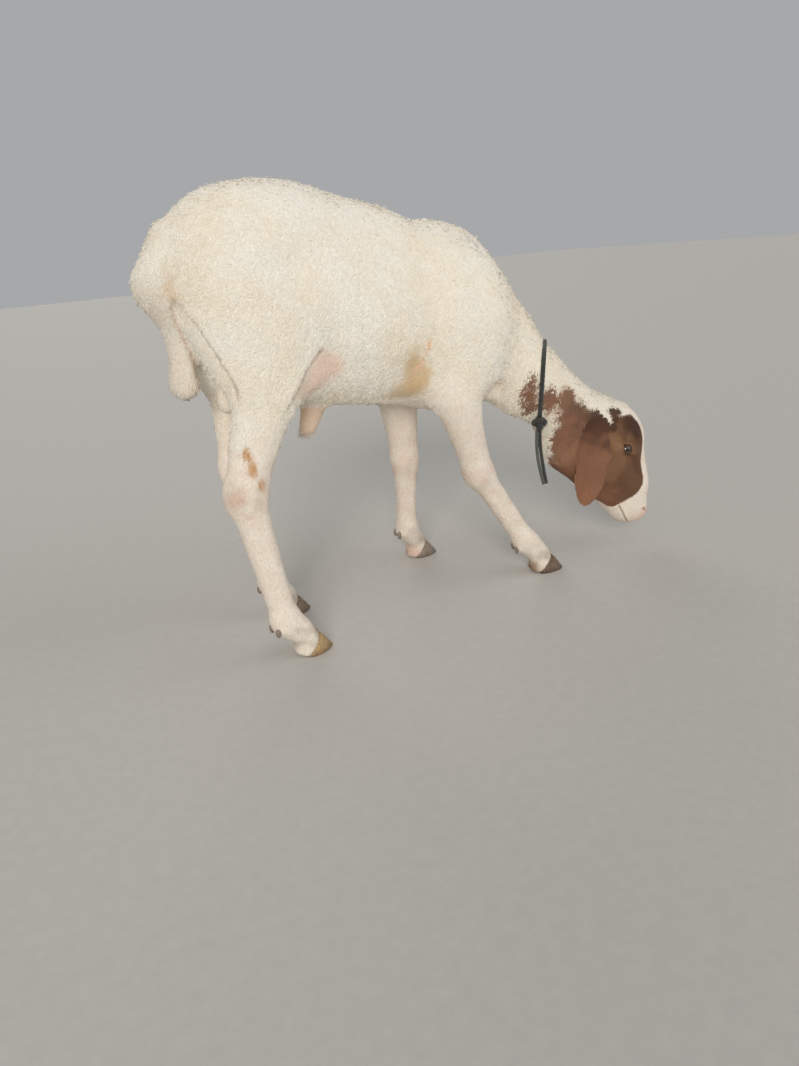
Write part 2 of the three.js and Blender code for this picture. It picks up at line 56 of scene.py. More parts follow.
def blend(low, high, value):  # 0 below low, 1 above high, smooth between
    t = np.clip((value - low) / (high - low), 0, 1)
    return t * t * (3 - 2 * t)


def unit(rows):
    return rows / np.maximum(np.linalg.norm(rows, axis=-1, keepdims=True), 1e-12)


def ball(points, centre, radii):  # 1 at the centre of an ellipsoid, 0 on its surface, negative outside
    return 1 - np.linalg.norm((points - np.array(centre)) / np.array(radii), axis=1)


def waves(points, size, seed):  # smooth uneven noise, about -1 to 1, with lumps of that size
    dice = np.random.default_rng(seed)
    total = np.zeros(len(points))
    for turn in range(14):
        way = unit(dice.normal(size=3)) * 2 * math.pi / (size * dice.uniform(1.2, 3.2))
        total += np.sin(points @ way + dice.uniform(0, 6.28))
    return total / 3.2


def pick(piece):  # only this piece is selected and active
    bpy.ops.object.select_all(action="DESELECT")
    piece.select_set(True)
    bpy.context.view_layer.objects.active = piece


def onWhole(piece, operator, **settings):  # an edit-mode operator on the whole mesh
    pick(piece)
    bpy.ops.object.mode_set(mode="EDIT")
    bpy.ops.mesh.select_all(action="SELECT")
    operator(**settings)
    bpy.ops.object.mode_set(mode="OBJECT")


def finishModifier(piece, kind, **settings):
    pick(piece)
    modifier = piece.modifiers.new(kind.title(), kind)
    for key, value in settings.items():
        setattr(modifier, key, value)
    bpy.ops.object.modifier_apply(modifier=modifier.name)


def mergedCopy(names, name):  # the named CAD nodes as one new piece with welded corners
    bpy.ops.object.select_all(action="DESELECT")
    copies = []
    for node in names:
        twin = bpy.data.objects.new(node + "_copy", nodes[node].data.copy())
        bpy.context.collection.objects.link(twin)
        twin.select_set(True)
        copies.append(twin)
    bpy.context.view_layer.objects.active = copies[0]
    if len(copies) > 1:
        bpy.ops.object.join()
    piece = bpy.context.view_layer.objects.active
    piece.name = piece.data.name = name
    piece.data.materials.clear()
    onWhole(piece, bpy.ops.mesh.remove_doubles, threshold=0.00005)
    return piece


def rowsOf(items, key, width, kind=float):  # one property of many items, a row for each
    rows = np.empty(len(items) * width, dtype=kind)
    items.foreach_get(key, rows)
    return rows.reshape(-1, width)


def places(piece):
    return rowsOf(piece.data.vertices, "co", 3)


def normalsOf(piece):
    return rowsOf(piece.data.vertex_normals, "vector", 3)


def edgesOf(piece):
    return rowsOf(piece.data.edges, "vertices", 2, np.int64)


def setPlaces(piece, rows):
    piece.data.vertices.foreach_set("co", rows.ravel())
    piece.data.update()


def evened(rows, edges, turns, strength=0.5):  # values averaged with their neighbours, turn by turn
    count = np.bincount(edges.ravel(), minlength=len(rows)).clip(1)
    flat = rows.ndim == 1
    rows = rows[:, None] if flat else rows
    a, b = edges.T
    strength = np.broadcast_to(strength, len(rows))[:, None]
    for turn in range(turns):
        total = np.stack([
            np.bincount(a, column[b], len(rows)) + np.bincount(b, column[a], len(rows))
            for column in rows.T
        ], axis=1)
        rows = rows + strength * (total / count[:, None] - rows)
    return rows[:, 0] if flat else rows


def meshFrom(name, points, triangles):
    mesh = bpy.data.meshes.new(name)
    mesh.vertices.add(len(points))
    mesh.vertices.foreach_set("co", np.ascontiguousarray(points, dtype=np.float32).ravel())
    mesh.loops.add(triangles.size)
    mesh.polygons.add(len(triangles))
    mesh.polygons.foreach_set("loop_start", np.arange(0, triangles.size, 3))
    mesh.polygons.foreach_set("vertices", np.ascontiguousarray(triangles, dtype=np.int32).ravel())
    mesh.polygons.foreach_set("use_smooth", np.ones(len(triangles), dtype=bool))
    mesh.update(calc_edges=True)
    piece = bpy.data.objects.new(name, mesh)
    bpy.context.collection.objects.link(piece)
    return piece


def addColour(piece, name, rgb):  # a colour for each corner point
    layer = piece.data.color_attributes.new(name, "FLOAT_COLOR", "POINT")
    rgba = np.ones((len(rgb), 4), dtype=np.float32)
    rgba[:, :3] = rgb
    layer.data.foreach_set("color", rgba.ravel())


def addNumber(piece, name, values):
    layer = piece.data.attributes.new(name, "FLOAT", "POINT")
    layer.data.foreach_set("value", np.ascontiguousarray(values, dtype=np.float32))


def addMap(piece, name, perPoint):  # a UV map from one place for each point
    corners = rowsOf(piece.data.loops, "vertex_index", 1, np.int32).ravel()
    layer = piece.data.uv_layers.new(name=name)
    layer.data.foreach_set("uv", perPoint[corners].astype(np.float32).ravel())


def stands(piece, slot, *replaced):  # the last words on a finished piece
    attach(piece, "root")
    if replaced:
        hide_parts(*replaced)


# camera

camera = {
    "place": (-0.730, -1.081, 0.560),
    "look": (0.530, 0.848),
    "down": 19.6,
    "roll": 5.2,
    "lens": 27.0,
    "sensor": 36.0,
}


def makeCamera():
    look = Vector((*camera["look"], 0)).normalized()
    level = Vector((look.y, -look.x, 0))
    down = math.radians(camera["down"])
    roll = math.radians(camera["roll"])
    back = -look * math.cos(down) + Vector((0, 0, math.sin(down)))
    upright = back.cross(level)
    right = level * math.cos(roll) - upright * math.sin(roll)
    up = level * math.sin(roll) + upright * math.cos(roll)
    bpy.ops.object.camera_add(location=camera["place"])
    cam = bpy.context.object
    cam.rotation_euler = Matrix((right, up, back)).transposed().to_euler()
    cam.data.lens = camera["lens"]
    cam.data.sensor_width = camera["sensor"]
    cam.data.clip_start = 0.05
    bpy.context.scene.camera = cam


makeCamera()
print("stage: camera")


# material helpers

def newMaterial(name, sockets=None):
    material = bpy.data.materials.new(name)
    material.use_nodes = True
    tree = material.node_tree
    shader = tree.nodes["Principled BSDF"]
    for key, value in (sockets or {}).items():
        shader.inputs[key].default_value = value
    return material, tree, shader


def addNode(tree, kind, inputs=None, **settings):
    node = tree.nodes.new(kind)
    for key, value in settings.items():
        setattr(node, key, value)
    for key, value in (inputs or {}).items():
        if isinstance(value, bpy.types.NodeSocket):
            tree.links.new(value, node.inputs[key])
        else:
            node.inputs[key].default_value = value
    return node


def objectPlaces(tree, scale=(1, 1, 1), turn=(0, 0, 0)):
    spot = addNode(tree, "ShaderNodeTexCoord")
    return addNode(tree, "ShaderNodeMapping", {
        "Vector": spot.outputs["Object"], "Scale": scale, "Rotation": turn}).outputs["Vector"]


def noiseOf(tree, vector, scale, detail=3.0, rough=0.55):
    node = addNode(tree, "ShaderNodeTexNoise", {
        "Vector": vector, "Scale": scale, "Detail": detail, "Roughness": rough})
    return node.outputs["Fac"]


def mathOf(tree, operation, a, b=0.0):
    return addNode(tree, "ShaderNodeMath", {0: a, 1: b}, operation=operation).outputs[0]


def times(tree, a, b):
    return mathOf(tree, "MULTIPLY", a, b)


def plus(tree, a, b):
    return mathOf(tree, "ADD", a, b)


def attributeOf(tree, name, output="Fac"):
    return addNode(tree, "ShaderNodeAttribute", attribute_name=name).outputs[output]


def mapOf(tree, name):
    return addNode(tree, "ShaderNodeUVMap", uv_map=name).outputs["UV"]


def blendOf(tree, share, a, b):
    return addNode(tree, "ShaderNodeMix", {0: share, 2: a, 3: b}, data_type="FLOAT").outputs[0]


def ramp(tree, value, *stops):  # stops are (place, colour), and a single number is a grey
    node = addNode(tree, "ShaderNodeValToRGB", {"Fac": value})
    points = node.color_ramp.elements
    while len(points) < len(stops):
        points.new(0.5)
    for point, (place, colour) in zip(points, stops):
        point.position = place
        point.color = (*(colour if isinstance(colour, tuple) else (colour,) * 3), 1)
    return node.outputs["Color"]


def mixed(tree, how, factor, a, b):
    node = addNode(tree, "ShaderNodeMix", data_type="RGBA", blend_type=how, clamp_result=True)
    for socket, value in zip((node.inputs[0], node.inputs[6], node.inputs[7]), (factor, a, b)):
        if isinstance(value, bpy.types.NodeSocket):
            tree.links.new(value, socket)
        else:
            socket.default_value = value if isinstance(value, float) else (*value, 1)
    return node.outputs[2]


def wire(tree, shader, colour, height=None, distance=0.0, strength=1.0):  # colour and bump into the shader
    tree.links.new(colour, shader.inputs["Base Color"])
    if height is not None:
        bump = addNode(tree, "ShaderNodeBump", {"Height": height, "Distance": distance, "Strength": strength})
        tree.links.new(bump.outputs["Normal"], shader.inputs["Normal"])


# the cord collar: a band, its knot and two loose ends

cordStyle = {
    "rear": {"path": [
        (288.5, -62, 241), (288, -62, 234), (287.4, -62, 227), (286.9, -62.2, 220), (286.6, -62.6, 213),
        (286.6, -63, 206), (286.9, -63.4, 199), (287.5, -63.8, 192), (288.4, -64.2, 185),
        (289.5, -64.6, 178), (290.8, -65, 171), (292.2, -65.4, 164), (293.8, -65.8, 157),
        (295.5, -66.2, 150), (297.3, -66.6, 143)], "tone": (0.085, 0.095, 0.072)},
    "front": {"path": [
        (296.4, -61, 241), (296.2, -61, 234), (296, -61, 227), (295.9, -61.2, 220), (296, -61.5, 213),
        (296.3, -61.8, 206), (296.8, -62.1, 199), (297.5, -62.4, 192), (298.4, -62.7, 185),
        (299.4, -63, 178), (300.5, -63.2, 171), (301.7, -63.4, 164), (303, -63.6, 157),
        (304.4, -63.8, 150), (305.9, -64, 142)], "tone": (0.018, 0.019, 0.017)},
    "origin": (85, 3, 0),  # from the drawing's zero to the frame's
    "diameter": 0.0065,
    "flat": 0.82,
    "steps": 90,
    "sides": 24,
    "strands": 3,
    "lay": 0.021,  # one turn of the strands
}


def smoothRoute(points, steps, closed=False):  # evenly spaced points on a smooth line through these
    rows = np.array(points, dtype=float)
    n = len(rows)
    pad = np.vstack([rows[-2:], rows, rows[:3]]) if closed else np.vstack(
        [2 * rows[0] - rows[1], rows, 2 * rows[-1] - rows[-2]])
    first = 2 if closed else 1
    fine = []
    for i in range(n if closed else n - 1):
        p0, p1, p2, p3 = pad[first + i - 1:first + i + 3]
        t = np.linspace(0, 1, 16, endpoint=False)[:, None]
        fine.append(0.5 * (2 * p1 + (p2 - p0) * t + (2 * p0 - 5 * p1 + 4 * p2 - p3) * t**2
                           + (3 * p1 - p0 - 3 * p2 + p3) * t**3))
    fine = np.vstack(fine + [rows[:1] if closed else rows[-1:]])
    run = np.concatenate([[0], np.cumsum(np.linalg.norm(np.diff(fine, axis=0), axis=1))])
    spots = np.linspace(0, run[-1], steps + 1)
    even = np.stack([np.interp(spots, run, column) for column in fine.T], axis=1)
    return (even[:-1] if closed else even), run[-1]


def rope(name, points, steps, size, closed=False, flat=1.0, upright=None):
    # a laid rope of twisted strands along a line, with a map of turns round it and metres along it
    route, length = smoothRoute(points, steps, closed)
    way = np.roll(route, -1, 0) - np.roll(route, 1, 0) if closed else np.gradient(route, axis=0)
    way = unit(way)
    up = np.broadcast_to(np.array(upright if upright is not None else (0.0, 1.0, 0.0)), route.shape)
    side = unit(np.cross(way, up))
    out = np.cross(side, way)
    count = cordStyle["sides"]
    turn = np.arange(count) * 2 * math.pi / count
    run = np.linspace(0, length, len(route), endpoint=not closed)
    turns = max(1, round(length / cordStyle["lay"]))
    phase = cordStyle["strands"] / 2 * (turn[None, :] - 2 * math.pi * turns * run[:, None] / length)
    grooved = 0.80 + 0.20 * np.abs(np.cos(phase)) ** 0.6
    if closed:
        fade = np.ones(len(route))
    else:
        ends = np.minimum(run, length - run) / (size / 2)
        fade = np.sqrt(np.clip(ends, 0, 1) * (2 - np.clip(ends, 0, 1))) * 0.9 + 0.1
    radius = size / 2 * grooved * fade[:, None]
    spots = (route[:, None] + side[:, None] * (radius * np.cos(turn))[..., None]
             + out[:, None] * (radius * flat * np.sin(turn))[..., None])
    rings = len(route)
    ring, k = np.meshgrid(np.arange(rings if closed else rings - 1), np.arange(count), indexing="ij")
    a = ring * count + k
    b = ring * count + (k + 1) % count
    c = (ring + 1) % rings * count + (k + 1) % count
    d = (ring + 1) % rings * count + k
    triangles = np.concatenate([np.stack(x, axis=-1).reshape(-1, 3) for x in ((a, b, c), (a, c, d))])
    rows = spots.reshape(-1, 3)
    if not closed:
        hubs = len(rows)
        rows = np.vstack([rows, route[0], route[-1]])
        k = np.arange(count)
        last = (rings - 1) * count
        triangles = np.vstack([
            triangles,
            np.stack([np.full(count, hubs), (k + 1) % count, k], axis=1),
            np.stack([np.full(count, hubs + 1), last + k, last + (k + 1) % count], axis=1),
        ])
    piece = meshFrom(name, rows, triangles)
    chart = np.stack(np.broadcast_arrays(turn[None, :] / (2 * math.pi), run[:, None]), -1).reshape(-1, 2)
    if not closed:
        chart = np.vstack([chart, (0, 0), (0, length)])
    addMap(piece, "ropeRun", chart)
    onWhole(piece, bpy.ops.mesh.normals_make_consistent, inside=False)
    return piece, route, length


def cordMaterial(name, tone):
    material, tree, shader = newMaterial(name, {"Roughness": 0.72, "Sheen Weight": 0.15})
    yarn = addNode(tree, "ShaderNodeMapping", {"Vector": mapOf(tree, "ropeRun"), "Scale": (9, 700, 1)})
    weave = addNode(tree, "ShaderNodeTexWave", {
        "Vector": yarn.outputs["Vector"], "Scale": 1.0, "Distortion": 1.4, "Detail": 2.0,
        "Detail Scale": 2.0}, wave_type="BANDS", bands_direction="DIAGONAL").outputs["Fac"]
    fluff = noiseOf(tree, objectPlaces(tree), 900, 4)
    dirt = noiseOf(tree, objectPlaces(tree), 70, 3)
    # painted shade and painted light: the cord is darker in the weave's low bands and paler on its high ones,
    # the same bands that raise its bump
    pale = tuple(min(1, c * 2.1 + 0.012) for c in tone)
    dark = tuple(c * 0.45 for c in tone)
    colour = ramp(tree, weave, (0.2, dark), (0.62, tone), (0.95, pale))
    dusty = tuple(c * 1.5 + 0.03 for c in tone)
    colour = mixed(tree, "MIX", times(tree, dirt, 0.5), colour, dusty)
    colour = mixed(tree, "MULTIPLY", 0.5, colour, ramp(tree, fluff, (0.3, 0.5), (0.7, 1)))
    wire(tree, shader, colour, plus(tree, weave, fluff), 0.0006, 0.8)
    return material


def makeLooseEnds():
    shift = np.array(cordStyle["origin"])
    for side in ("rear", "front"):
        style = cordStyle[side]
        path = (np.array(style["path"]) - shift) * mm
        name = "cord_end_" + side
        piece, route, length = rope(
            name, path, cordStyle["steps"], cordStyle["diameter"], flat=cordStyle["flat"])
        piece.data.materials.append(cordMaterial(name, style["tone"]))
        stands(piece, "loose_cord", "collar_end_" + side)
    print("stage: loose ends of the collar's cord")


collarStyle = {
    "centre": (331, -29, 300),
    "facing": (0.72, -0.67, -0.09),
    "sectors": 24,  # of the node's own ring
    "width": 0.0080,
    "thickness": 0.0046,
    "steps": 300,
    "tone": (0.020, 0.022, 0.018),
    "pressed": 0.0028,  # how deep the skin lies below it
    "hollow": (0.004, 0.020),  # where that depth begins and ends, from the middle of the band
}


def collarLine():  # the middle of the band, in order round the neck, from its own node
    points = np.unique(np.round(places(nodes["collar"]), 6), axis=0)
    centre = (np.array(collarStyle["centre"]) - cordStyle["origin"]) * mm
    axis = unit(np.array(collarStyle["facing"]))
    up = unit(np.array((0, 0, 1.0)) - axis * axis[2])
    side = np.cross(axis, up)
    sectors = collarStyle["sectors"]
    angle = np.arctan2((points - centre) @ side, (points - centre) @ up) % (2 * math.pi)
    sector = np.round(angle / (2 * math.pi) * sectors).astype(int) % sectors
    line = np.array([points[sector == k].mean(0) for k in range(sectors)])
    return line, axis, centre


def collarGap(points, reach):  # how far from the collar's line, and 1 beyond this reach along its axis
    line, axis, centre = collarLine()
    route = smoothRoute(line, 200, True)[0]
    gap = np.full(len(points), 1.0)
    close = np.abs((points - centre) @ axis) < reach
    gap[close] = np.linalg.norm(points[close][:, None] - route[None], axis=2).min(1)
    return gap


knotStyle = {"cord": 0.0084, "flat": 0.95, "steps": 260, "tone": (0.020, 0.021, 0.018)}


def makeCollar():
    line, axis, centre = collarLine()
    steps, width = collarStyle["steps"], collarStyle["width"]
    outs = unit(smoothRoute(line, steps, True)[0] - centre)
    outs = unit(outs - axis * (outs @ axis)[:, None])
    piece = rope("collar_band", line, steps, width, True, collarStyle["thickness"] / width, outs)[0]
    piece.data.materials.append(cordMaterial("collarCord", collarStyle["tone"]))
    stands(piece, "collar_cord", "collar")
    low, high = (np.array(v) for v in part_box("collar_knot"))
    middle = (low + high) / 2
    t = np.linspace(0, 2 * math.pi, 60, endpoint=False)
    trefoil = np.stack([
        np.sin(t) + 2 * np.sin(2 * t), -np.sin(3 * t) * 1.4, np.cos(t) - 2 * np.cos(2 * t)], axis=1)
    reach = (high - low) / 2 - knotStyle["cord"] / 2
    trefoil = trefoil / np.abs(trefoil).max(0) * reach + middle
    piece = rope(
        "collar_knot_tied", trefoil, knotStyle["steps"], knotStyle["cord"], True, knotStyle["flat"])[0]
    piece.data.materials.append(cordMaterial("knotCord", knotStyle["tone"]))
    stands(piece, "collar_cord", "collar_knot")
    print("stage: collar and knot")


makeLooseEnds()
makeCollar()


# floor and light

studio = {
    "floor": (0.52, 0.50, 0.46),
    "world": (0.84, 0.85, 0.87),
    "worldPower": 0.46,
    "lights": [  # place, softness in degrees, power, colour, aimed at
        ("key", (-1.4, -1.9, 1.25), 22, 1.9, (1.0, 0.97, 0.93), (0.0, 0.0, 0.35)),
        ("fill", (1.9, -1.5, 1.3), 50, 0.7, (0.93, 0.96, 1.0), (0.1, 0.0, 0.3)),
        ("rim", (0.6, 2.2, 1.3), 40, 0.7, (1.0, 0.98, 0.95), (0.0, 0.0, 0.4)),
    ],
}


def makeStage():
    bpy.ops.object.select_all(action="DESELECT")
    bpy.ops.mesh.primitive_plane_add(size=40, location=(0, 0, 0))
    floor = bpy.context.object
    floor.name = "floor"
    material, tree, shader = newMaterial("paleFloor", {"Roughness": 0.85})
    speck = noiseOf(tree, objectPlaces(tree), 60, 6, 0.7)
    darker, lighter = (tuple(c * share for c in studio["floor"]) for share in (0.96, 1.04))
    wire(tree, shader, ramp(tree, speck, (0.3, darker), (0.7, lighter)))
    floor.data.materials.append(material)
    world = bpy.data.worlds.new("studio")
    world.use_nodes = True
    sky = world.node_tree.nodes["Background"]
    sky.inputs["Color"].default_value = (*studio["world"], 1)
    sky.inputs["Strength"].default_value = studio["worldPower"]
    bpy.context.scene.world = world
    for name, place, softness, power, colour, target in studio["lights"]:
        bpy.ops.object.light_add(type="SUN", location=place)
        light = bpy.context.object
        light.name = name
        light.data.angle = math.radians(softness)
        light.data.energy = power
        light.data.color = colour
        aim = Vector(target) - Vector(place)
        light.rotation_euler = aim.to_track_quat("-Z", "Y").to_euler()
    bpy.context.scene.view_settings.view_transform = "Standard"
    print("stage: floor and lights")


makeStage()


# where things are on the animal

def middleOf(node):
    low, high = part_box(node)
    return np.array((low + high) / 2)


headFrame = {
    "place": np.array((345, -85, 264)) * mm,  # the middle of the poll
    "axes": np.array((
        (0.352, -0.203, -0.9135),  # down the face
        (0.5, 0.866, 0),  # to its left
        (0.791, -0.457, 0.407),  # up from the face
    )),
}
eyeRadius = float(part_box("eye_right")[1].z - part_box("eye_right")[0].z) / 2


def inHead(points):  # millimetres along the face, to the left and up from the face
    return (points - headFrame["place"]) @ headFrame["axes"].T / mm


def fromHead(rows):
    return np.array(rows) * mm @ headFrame["axes"] + headFrame["place"]


def leftSide(rows):  # the same places on the animal's left side
    return np.stack([rows[:, 0], np.abs(rows[:, 1]), rows[:, 2]], axis=1)


def mound(points, place, reach, side):  # 1 in the middle of a soft lump, 0 well outside it
    x, y, z = ((points - np.array(place) * (1, side, 1)) / np.array(reach)).T
    return np.exp(-(x**2 + y**2 + z**2))


legs = {  # the joints, as the frame has them, with the way each foot points
    "front_right": {"toeOut": -24, "joints": [
        (65, -79, 440), (23, -77, 338), (56, -82, 204), (142, -95, 63), (172, -97, 30)]},
    "front_left": {"toeOut": -14, "joints": [
        (53, 73, 440), (11, 73, 338), (26, 88, 203), (34, 114, 66), (57, 125, 30)]},
    "hind_right": {"toeOut": 0, "joints": [
        (-281, -65, 500), (-297, -83, 398), (-348, -83, 260), (-316, -85, 62), (-288, -85, 30)]},
    "hind_left": {"toeOut": 0, "joints": [
        (-273, 59, 500), (-269, 79, 398), (-293, 71, 260), (-269, 63, 62), (-250, 61, 30)]},
}
fleshNodes = ["trunk", "neck", "head", "tail", "scrotum", "sheath", *earNodes]
fleshNodes += ["leg_" + name for name in legs]


def isOn(kind, *names):  # which points lie on these nodes
    return np.isin(kind, [fleshNodes.index(name) for name in names])


barePlaces = [  # nearly bare skin on both sides: place, reach, tone
    ((-212, 102, 411), (28, 34, 32), "bare"),
    ((-230, 98, 389), (26, 34, 22), "bare"),
    ((-196, 100, 412), (20, 30, 20), "bare"),
    ((-60, 90, 392), (17, 40, 34), "orange"),
    ((-58, 60, 358), (34, 44, 20), "orange"),
    ((-40, 86, 372), (14, 36, 24), "orange"),
]


def bareness(points):
    p = leftSide(points / mm)
    rough = 0.05 * waves(points, 0.012, 31)
    bare = np.zeros(len(points))
    for place, reach, tone in barePlaces:
        bare = np.maximum(bare, blend(-0.15, 0.45, ball(p, place, reach) + rough))
    return bare


woolStyle = {  # heights in mm, or shares of the full fleece
    "hindLeg": (285, 375),
    "foreLeg": (270, 352),
    "onForeLeg": 0.75,
    "tail": (470, 560),
    "onTail": 0.55,  # at its tip, more towards its root
    "onScrotum": 0.45,
    "crown": (-6, 34),  # millimetres down the face
    "lobe": ((18, 34, -84), (46, 44, 46)),  # below the ears
    "onLobe": 0.8,
    "thinner": ((15, 0, 300), (190, 1, 75)),  # under the chest
}


def woolliness(points, kind):  # 1 in full fleece, 0 in short hair; kind says whose node a point is on
    f = leftSide(inHead(points))
    p = points / mm
    up = p[:, 2]
    body = isOn(kind, "trunk", "neck")
    wool = body.astype(float)
    onHind, onFore = (isOn(kind, f"leg_{pair}_right", f"leg_{pair}_left") for pair in ("hind", "front"))
    wool = np.where(onHind, blend(*woolStyle["hindLeg"], up), wool)
    wool = np.where(onFore, blend(*woolStyle["foreLeg"], up) * woolStyle["onForeLeg"], wool)
    least = woolStyle["onTail"]
    wool = np.where(isOn(kind, "tail"), least + (1 - least) * blend(*woolStyle["tail"], up), wool)
    wool = np.where(isOn(kind, "scrotum"), woolStyle["onScrotum"], wool)
    crown = 1 - blend(*woolStyle["crown"], f[:, 0] - 0.25 * np.clip(-f[:, 2], 0, 60))
    lobe = blend(-0.15, 0.35, ball(f, *woolStyle["lobe"])) * woolStyle["onLobe"]
    wool = np.where(isOn(kind, "head"), np.maximum(crown, lobe), wool)
    low = blend(0.0, 0.5, ball(p * (1, 0, 1), *woolStyle["thinner"]))
    return wool * (1 - 0.45 * low * body) * (1 - 0.75 * bareness(points))


print("stage: places")


# the skin

skinStyle = {
    "grow": 0.0009,  # closes the joints between the nodes
    "earGrow": 0.0020,  # so that the thin edge of an ear keeps its outline
    "cell": 0.0025,
    "woolDepth": 0.0028,
    "hairDepth": 0.0010,
    "faceDepth": -0.0006,  # the face is filled out again after the smoothing
    "earDepth": 0.0008,
    "tailDepth": 0.65,  # the share of the depth that is left on the tail
    "footDepth": 0.35,  # and at the floor
    "footHeight": (0.030, 0.050),
    "triangles": 188000,
}
smoothing = {"trunk": 0.5, "neck": 0.5, "head": 0.09, "tail": 0.2, "scrotum": 0.2, "sheath": 0.35,
             "ear_right": 0.03, "ear_left": 0.03, "leg": 0.2}


def nearestNode(points, names):
    corners, faces, owner = [], [], []
    for k, name in enumerate(names):
        mesh = nodes[name].data
        mesh.calc_loop_triangles()
        start = len(corners)
        corners += [v.co.copy() for v in mesh.vertices]
        faces += [[start + i for i in t.vertices] for t in mesh.loop_triangles]
        owner += [k] * len(mesh.loop_triangles)
    tree = BVHTree.FromPolygons(corners, faces)
    return np.array([owner[tree.find_nearest(Vector(p))[2]] for p in points])


def remeshed(piece, cell):
    finishModifier(piece, "REMESH", mode="VOXEL", voxel_size=cell, adaptivity=0.0)


def footAxes(leg):  # the middle of the foot on the floor, and the way that it points
    turn = math.radians(leg["toeOut"])
    return np.array(leg["joints"][4]) * (mm, mm, 0), np.array((math.cos(turn), math.sin(turn), 0))


footStyle = {
    "hairLine": -0.007,  # where horn begins on the floor, ahead of the foot's middle
    "slope": 1.25,  # how far the hair line leans forward for each metre up
    "dewclawBack": 0.0055,
}


def beforeHairLine(points, leg):  # how far ahead of the line between hair and horn
    foot, ahead = footAxes(leg)
    return (points - foot) @ ahead - footStyle["slope"] * points[:, 2] - footStyle["hairLine"]


def heelsAndBulges():  # what the skin covers of the claws and dewclaws
    made = []
    for name, leg in legs.items():
        heel = mergedCopy([f"hoof_{name}_{half}" for half in ("right", "left")], "heel_" + name)
        foot, ahead = footAxes(leg)
        onWhole(heel, bpy.ops.mesh.bisect, plane_co=foot + ahead * (footStyle["hairLine"] + 0.002),
                plane_no=ahead - np.array((0, 0, footStyle["slope"])), use_fill=True, clear_outer=True)
        bulge = mergedCopy([f"dewclaw_{name}_{half}" for half in ("right", "left")], "mound_" + name)
        setPlaces(bulge, places(bulge) + (ahead * 1.1 + np.array((0, 0, 0.25))) * footStyle["dewclawBack"])
        made += [heel, bulge]
    return made


def grown(piece, reach):
    finishModifier(piece, "DISPLACE", strength=reach, mid_level=0.0, direction="NORMAL")
    return piece


def fleshInOne():  # all flesh as one closed mesh of small cells
    ears = grown(mergedCopy(earNodes, "ears"), skinStyle["earGrow"])
    others = [name for name in fleshNodes if name not in earNodes]
    skin = mergedCopy(others + [node for node, side in eyes], "skin")
    feet = heelsAndBulges()
    grown(skin, skinStyle["grow"])
    for piece in feet:
        grown(piece, skinStyle["grow"])
    pick(skin)
    for piece in (*feet, ears):
        piece.select_set(True)
    bpy.ops.object.join()
    remeshed(skin, skinStyle["cell"])
    return skin


def coatDepth(points, edges, kind):  # how deep the skin lies below the solids
    wool = evened(woolliness(points, kind), edges, 8)
    ears = evened(isOn(kind, *earNodes).astype(float), edges, 3)
    tail = evened(isOn(kind, "tail").astype(float), edges, 6)
    face = evened(isOn(kind, "head").astype(float) * (1 - wool), edges, 6)
    depth = skinStyle["hairDepth"] + (skinStyle["woolDepth"] - skinStyle["hairDepth"]) * wool
    depth += (skinStyle["faceDepth"] - depth) * face
    depth = depth * (1 - ears) + (skinStyle["earDepth"] + skinStyle["earGrow"]) * ears
    depth = depth * (1 - (1 - skinStyle["tailDepth"]) * tail)
    offCollar = blend(*collarStyle["hollow"], collarGap(points, 0.03))
    depth = depth * offCollar + collarStyle["pressed"] * (1 - offCollar)
    foot = skinStyle["footDepth"]
    return depth * (foot + (1 - foot) * blend(*skinStyle["footHeight"], points[:, 2]))


def bodyShape():
    skin = fleshInOne()
    points, edges = places(skin), edgesOf(skin)
    kind = nearestNode(points, fleshNodes)
    strength = np.array([smoothing.get(name, smoothing["leg"]) for name in fleshNodes])[kind]
    strength = evened(strength, edges, 10)
    points = evened(points, edges, 64, strength)
    setPlaces(skin, points)
    depth = coatDepth(points, edges, kind)
    normals = evened(normalsOf(skin), edges, 6)
    setPlaces(skin, points - unit(normals) * depth[:, None])
    points = evened(places(skin), edges, 6, strength * 0.6)
    points[:, 2] = np.maximum(points[:, 2], lowest)
    setPlaces(skin, points)
    print("stage: body shape", len(points), "points")
    return skin


def lineGap(points, line):  # how far each point is from a line of points
    gap = np.full(len(points), 9.0)
    for p, q in zip(line[:-1], line[1:]):
        way = q - p
        t = np.clip((points - p) @ way / (way @ way), 0, 1)
        gap = np.minimum(gap, np.linalg.norm(points - p - t[:, None] * way, axis=1))
    return gap


def swell(gap, width):  # 1 on the line, falling to 0 within about two widths
    return np.exp(-((gap / width) ** 2))


def finerNear(skin, spots):  # splits the faces within reach of some places; each spot is (place, reach)
    pick(skin)
    mesh = skin.data
    middles = rowsOf(mesh.polygons, "center", 3)
    chosen = np.zeros(len(middles), dtype=bool)
    for place, reach in spots:
        chosen |= np.linalg.norm(middles - place, axis=1) < reach
    mesh.polygons.foreach_set("select", chosen)
    mesh.vertices.foreach_set("select", np.zeros(len(mesh.vertices), dtype=bool))
    mesh.edges.foreach_set("select", np.zeros(len(mesh.edges), dtype=bool))
    bpy.ops.object.mode_set(mode="EDIT")
    bpy.ops.mesh.select_mode(type="FACE")
    bpy.ops.object.mode_set(mode="OBJECT")
    mesh.polygons.foreach_set("select", chosen)
    bpy.ops.object.mode_set(mode="EDIT")
    bpy.ops.mesh.subdivide(number_cuts=1, smoothness=0.0)
    bpy.ops.object.mode_set(mode="OBJECT")


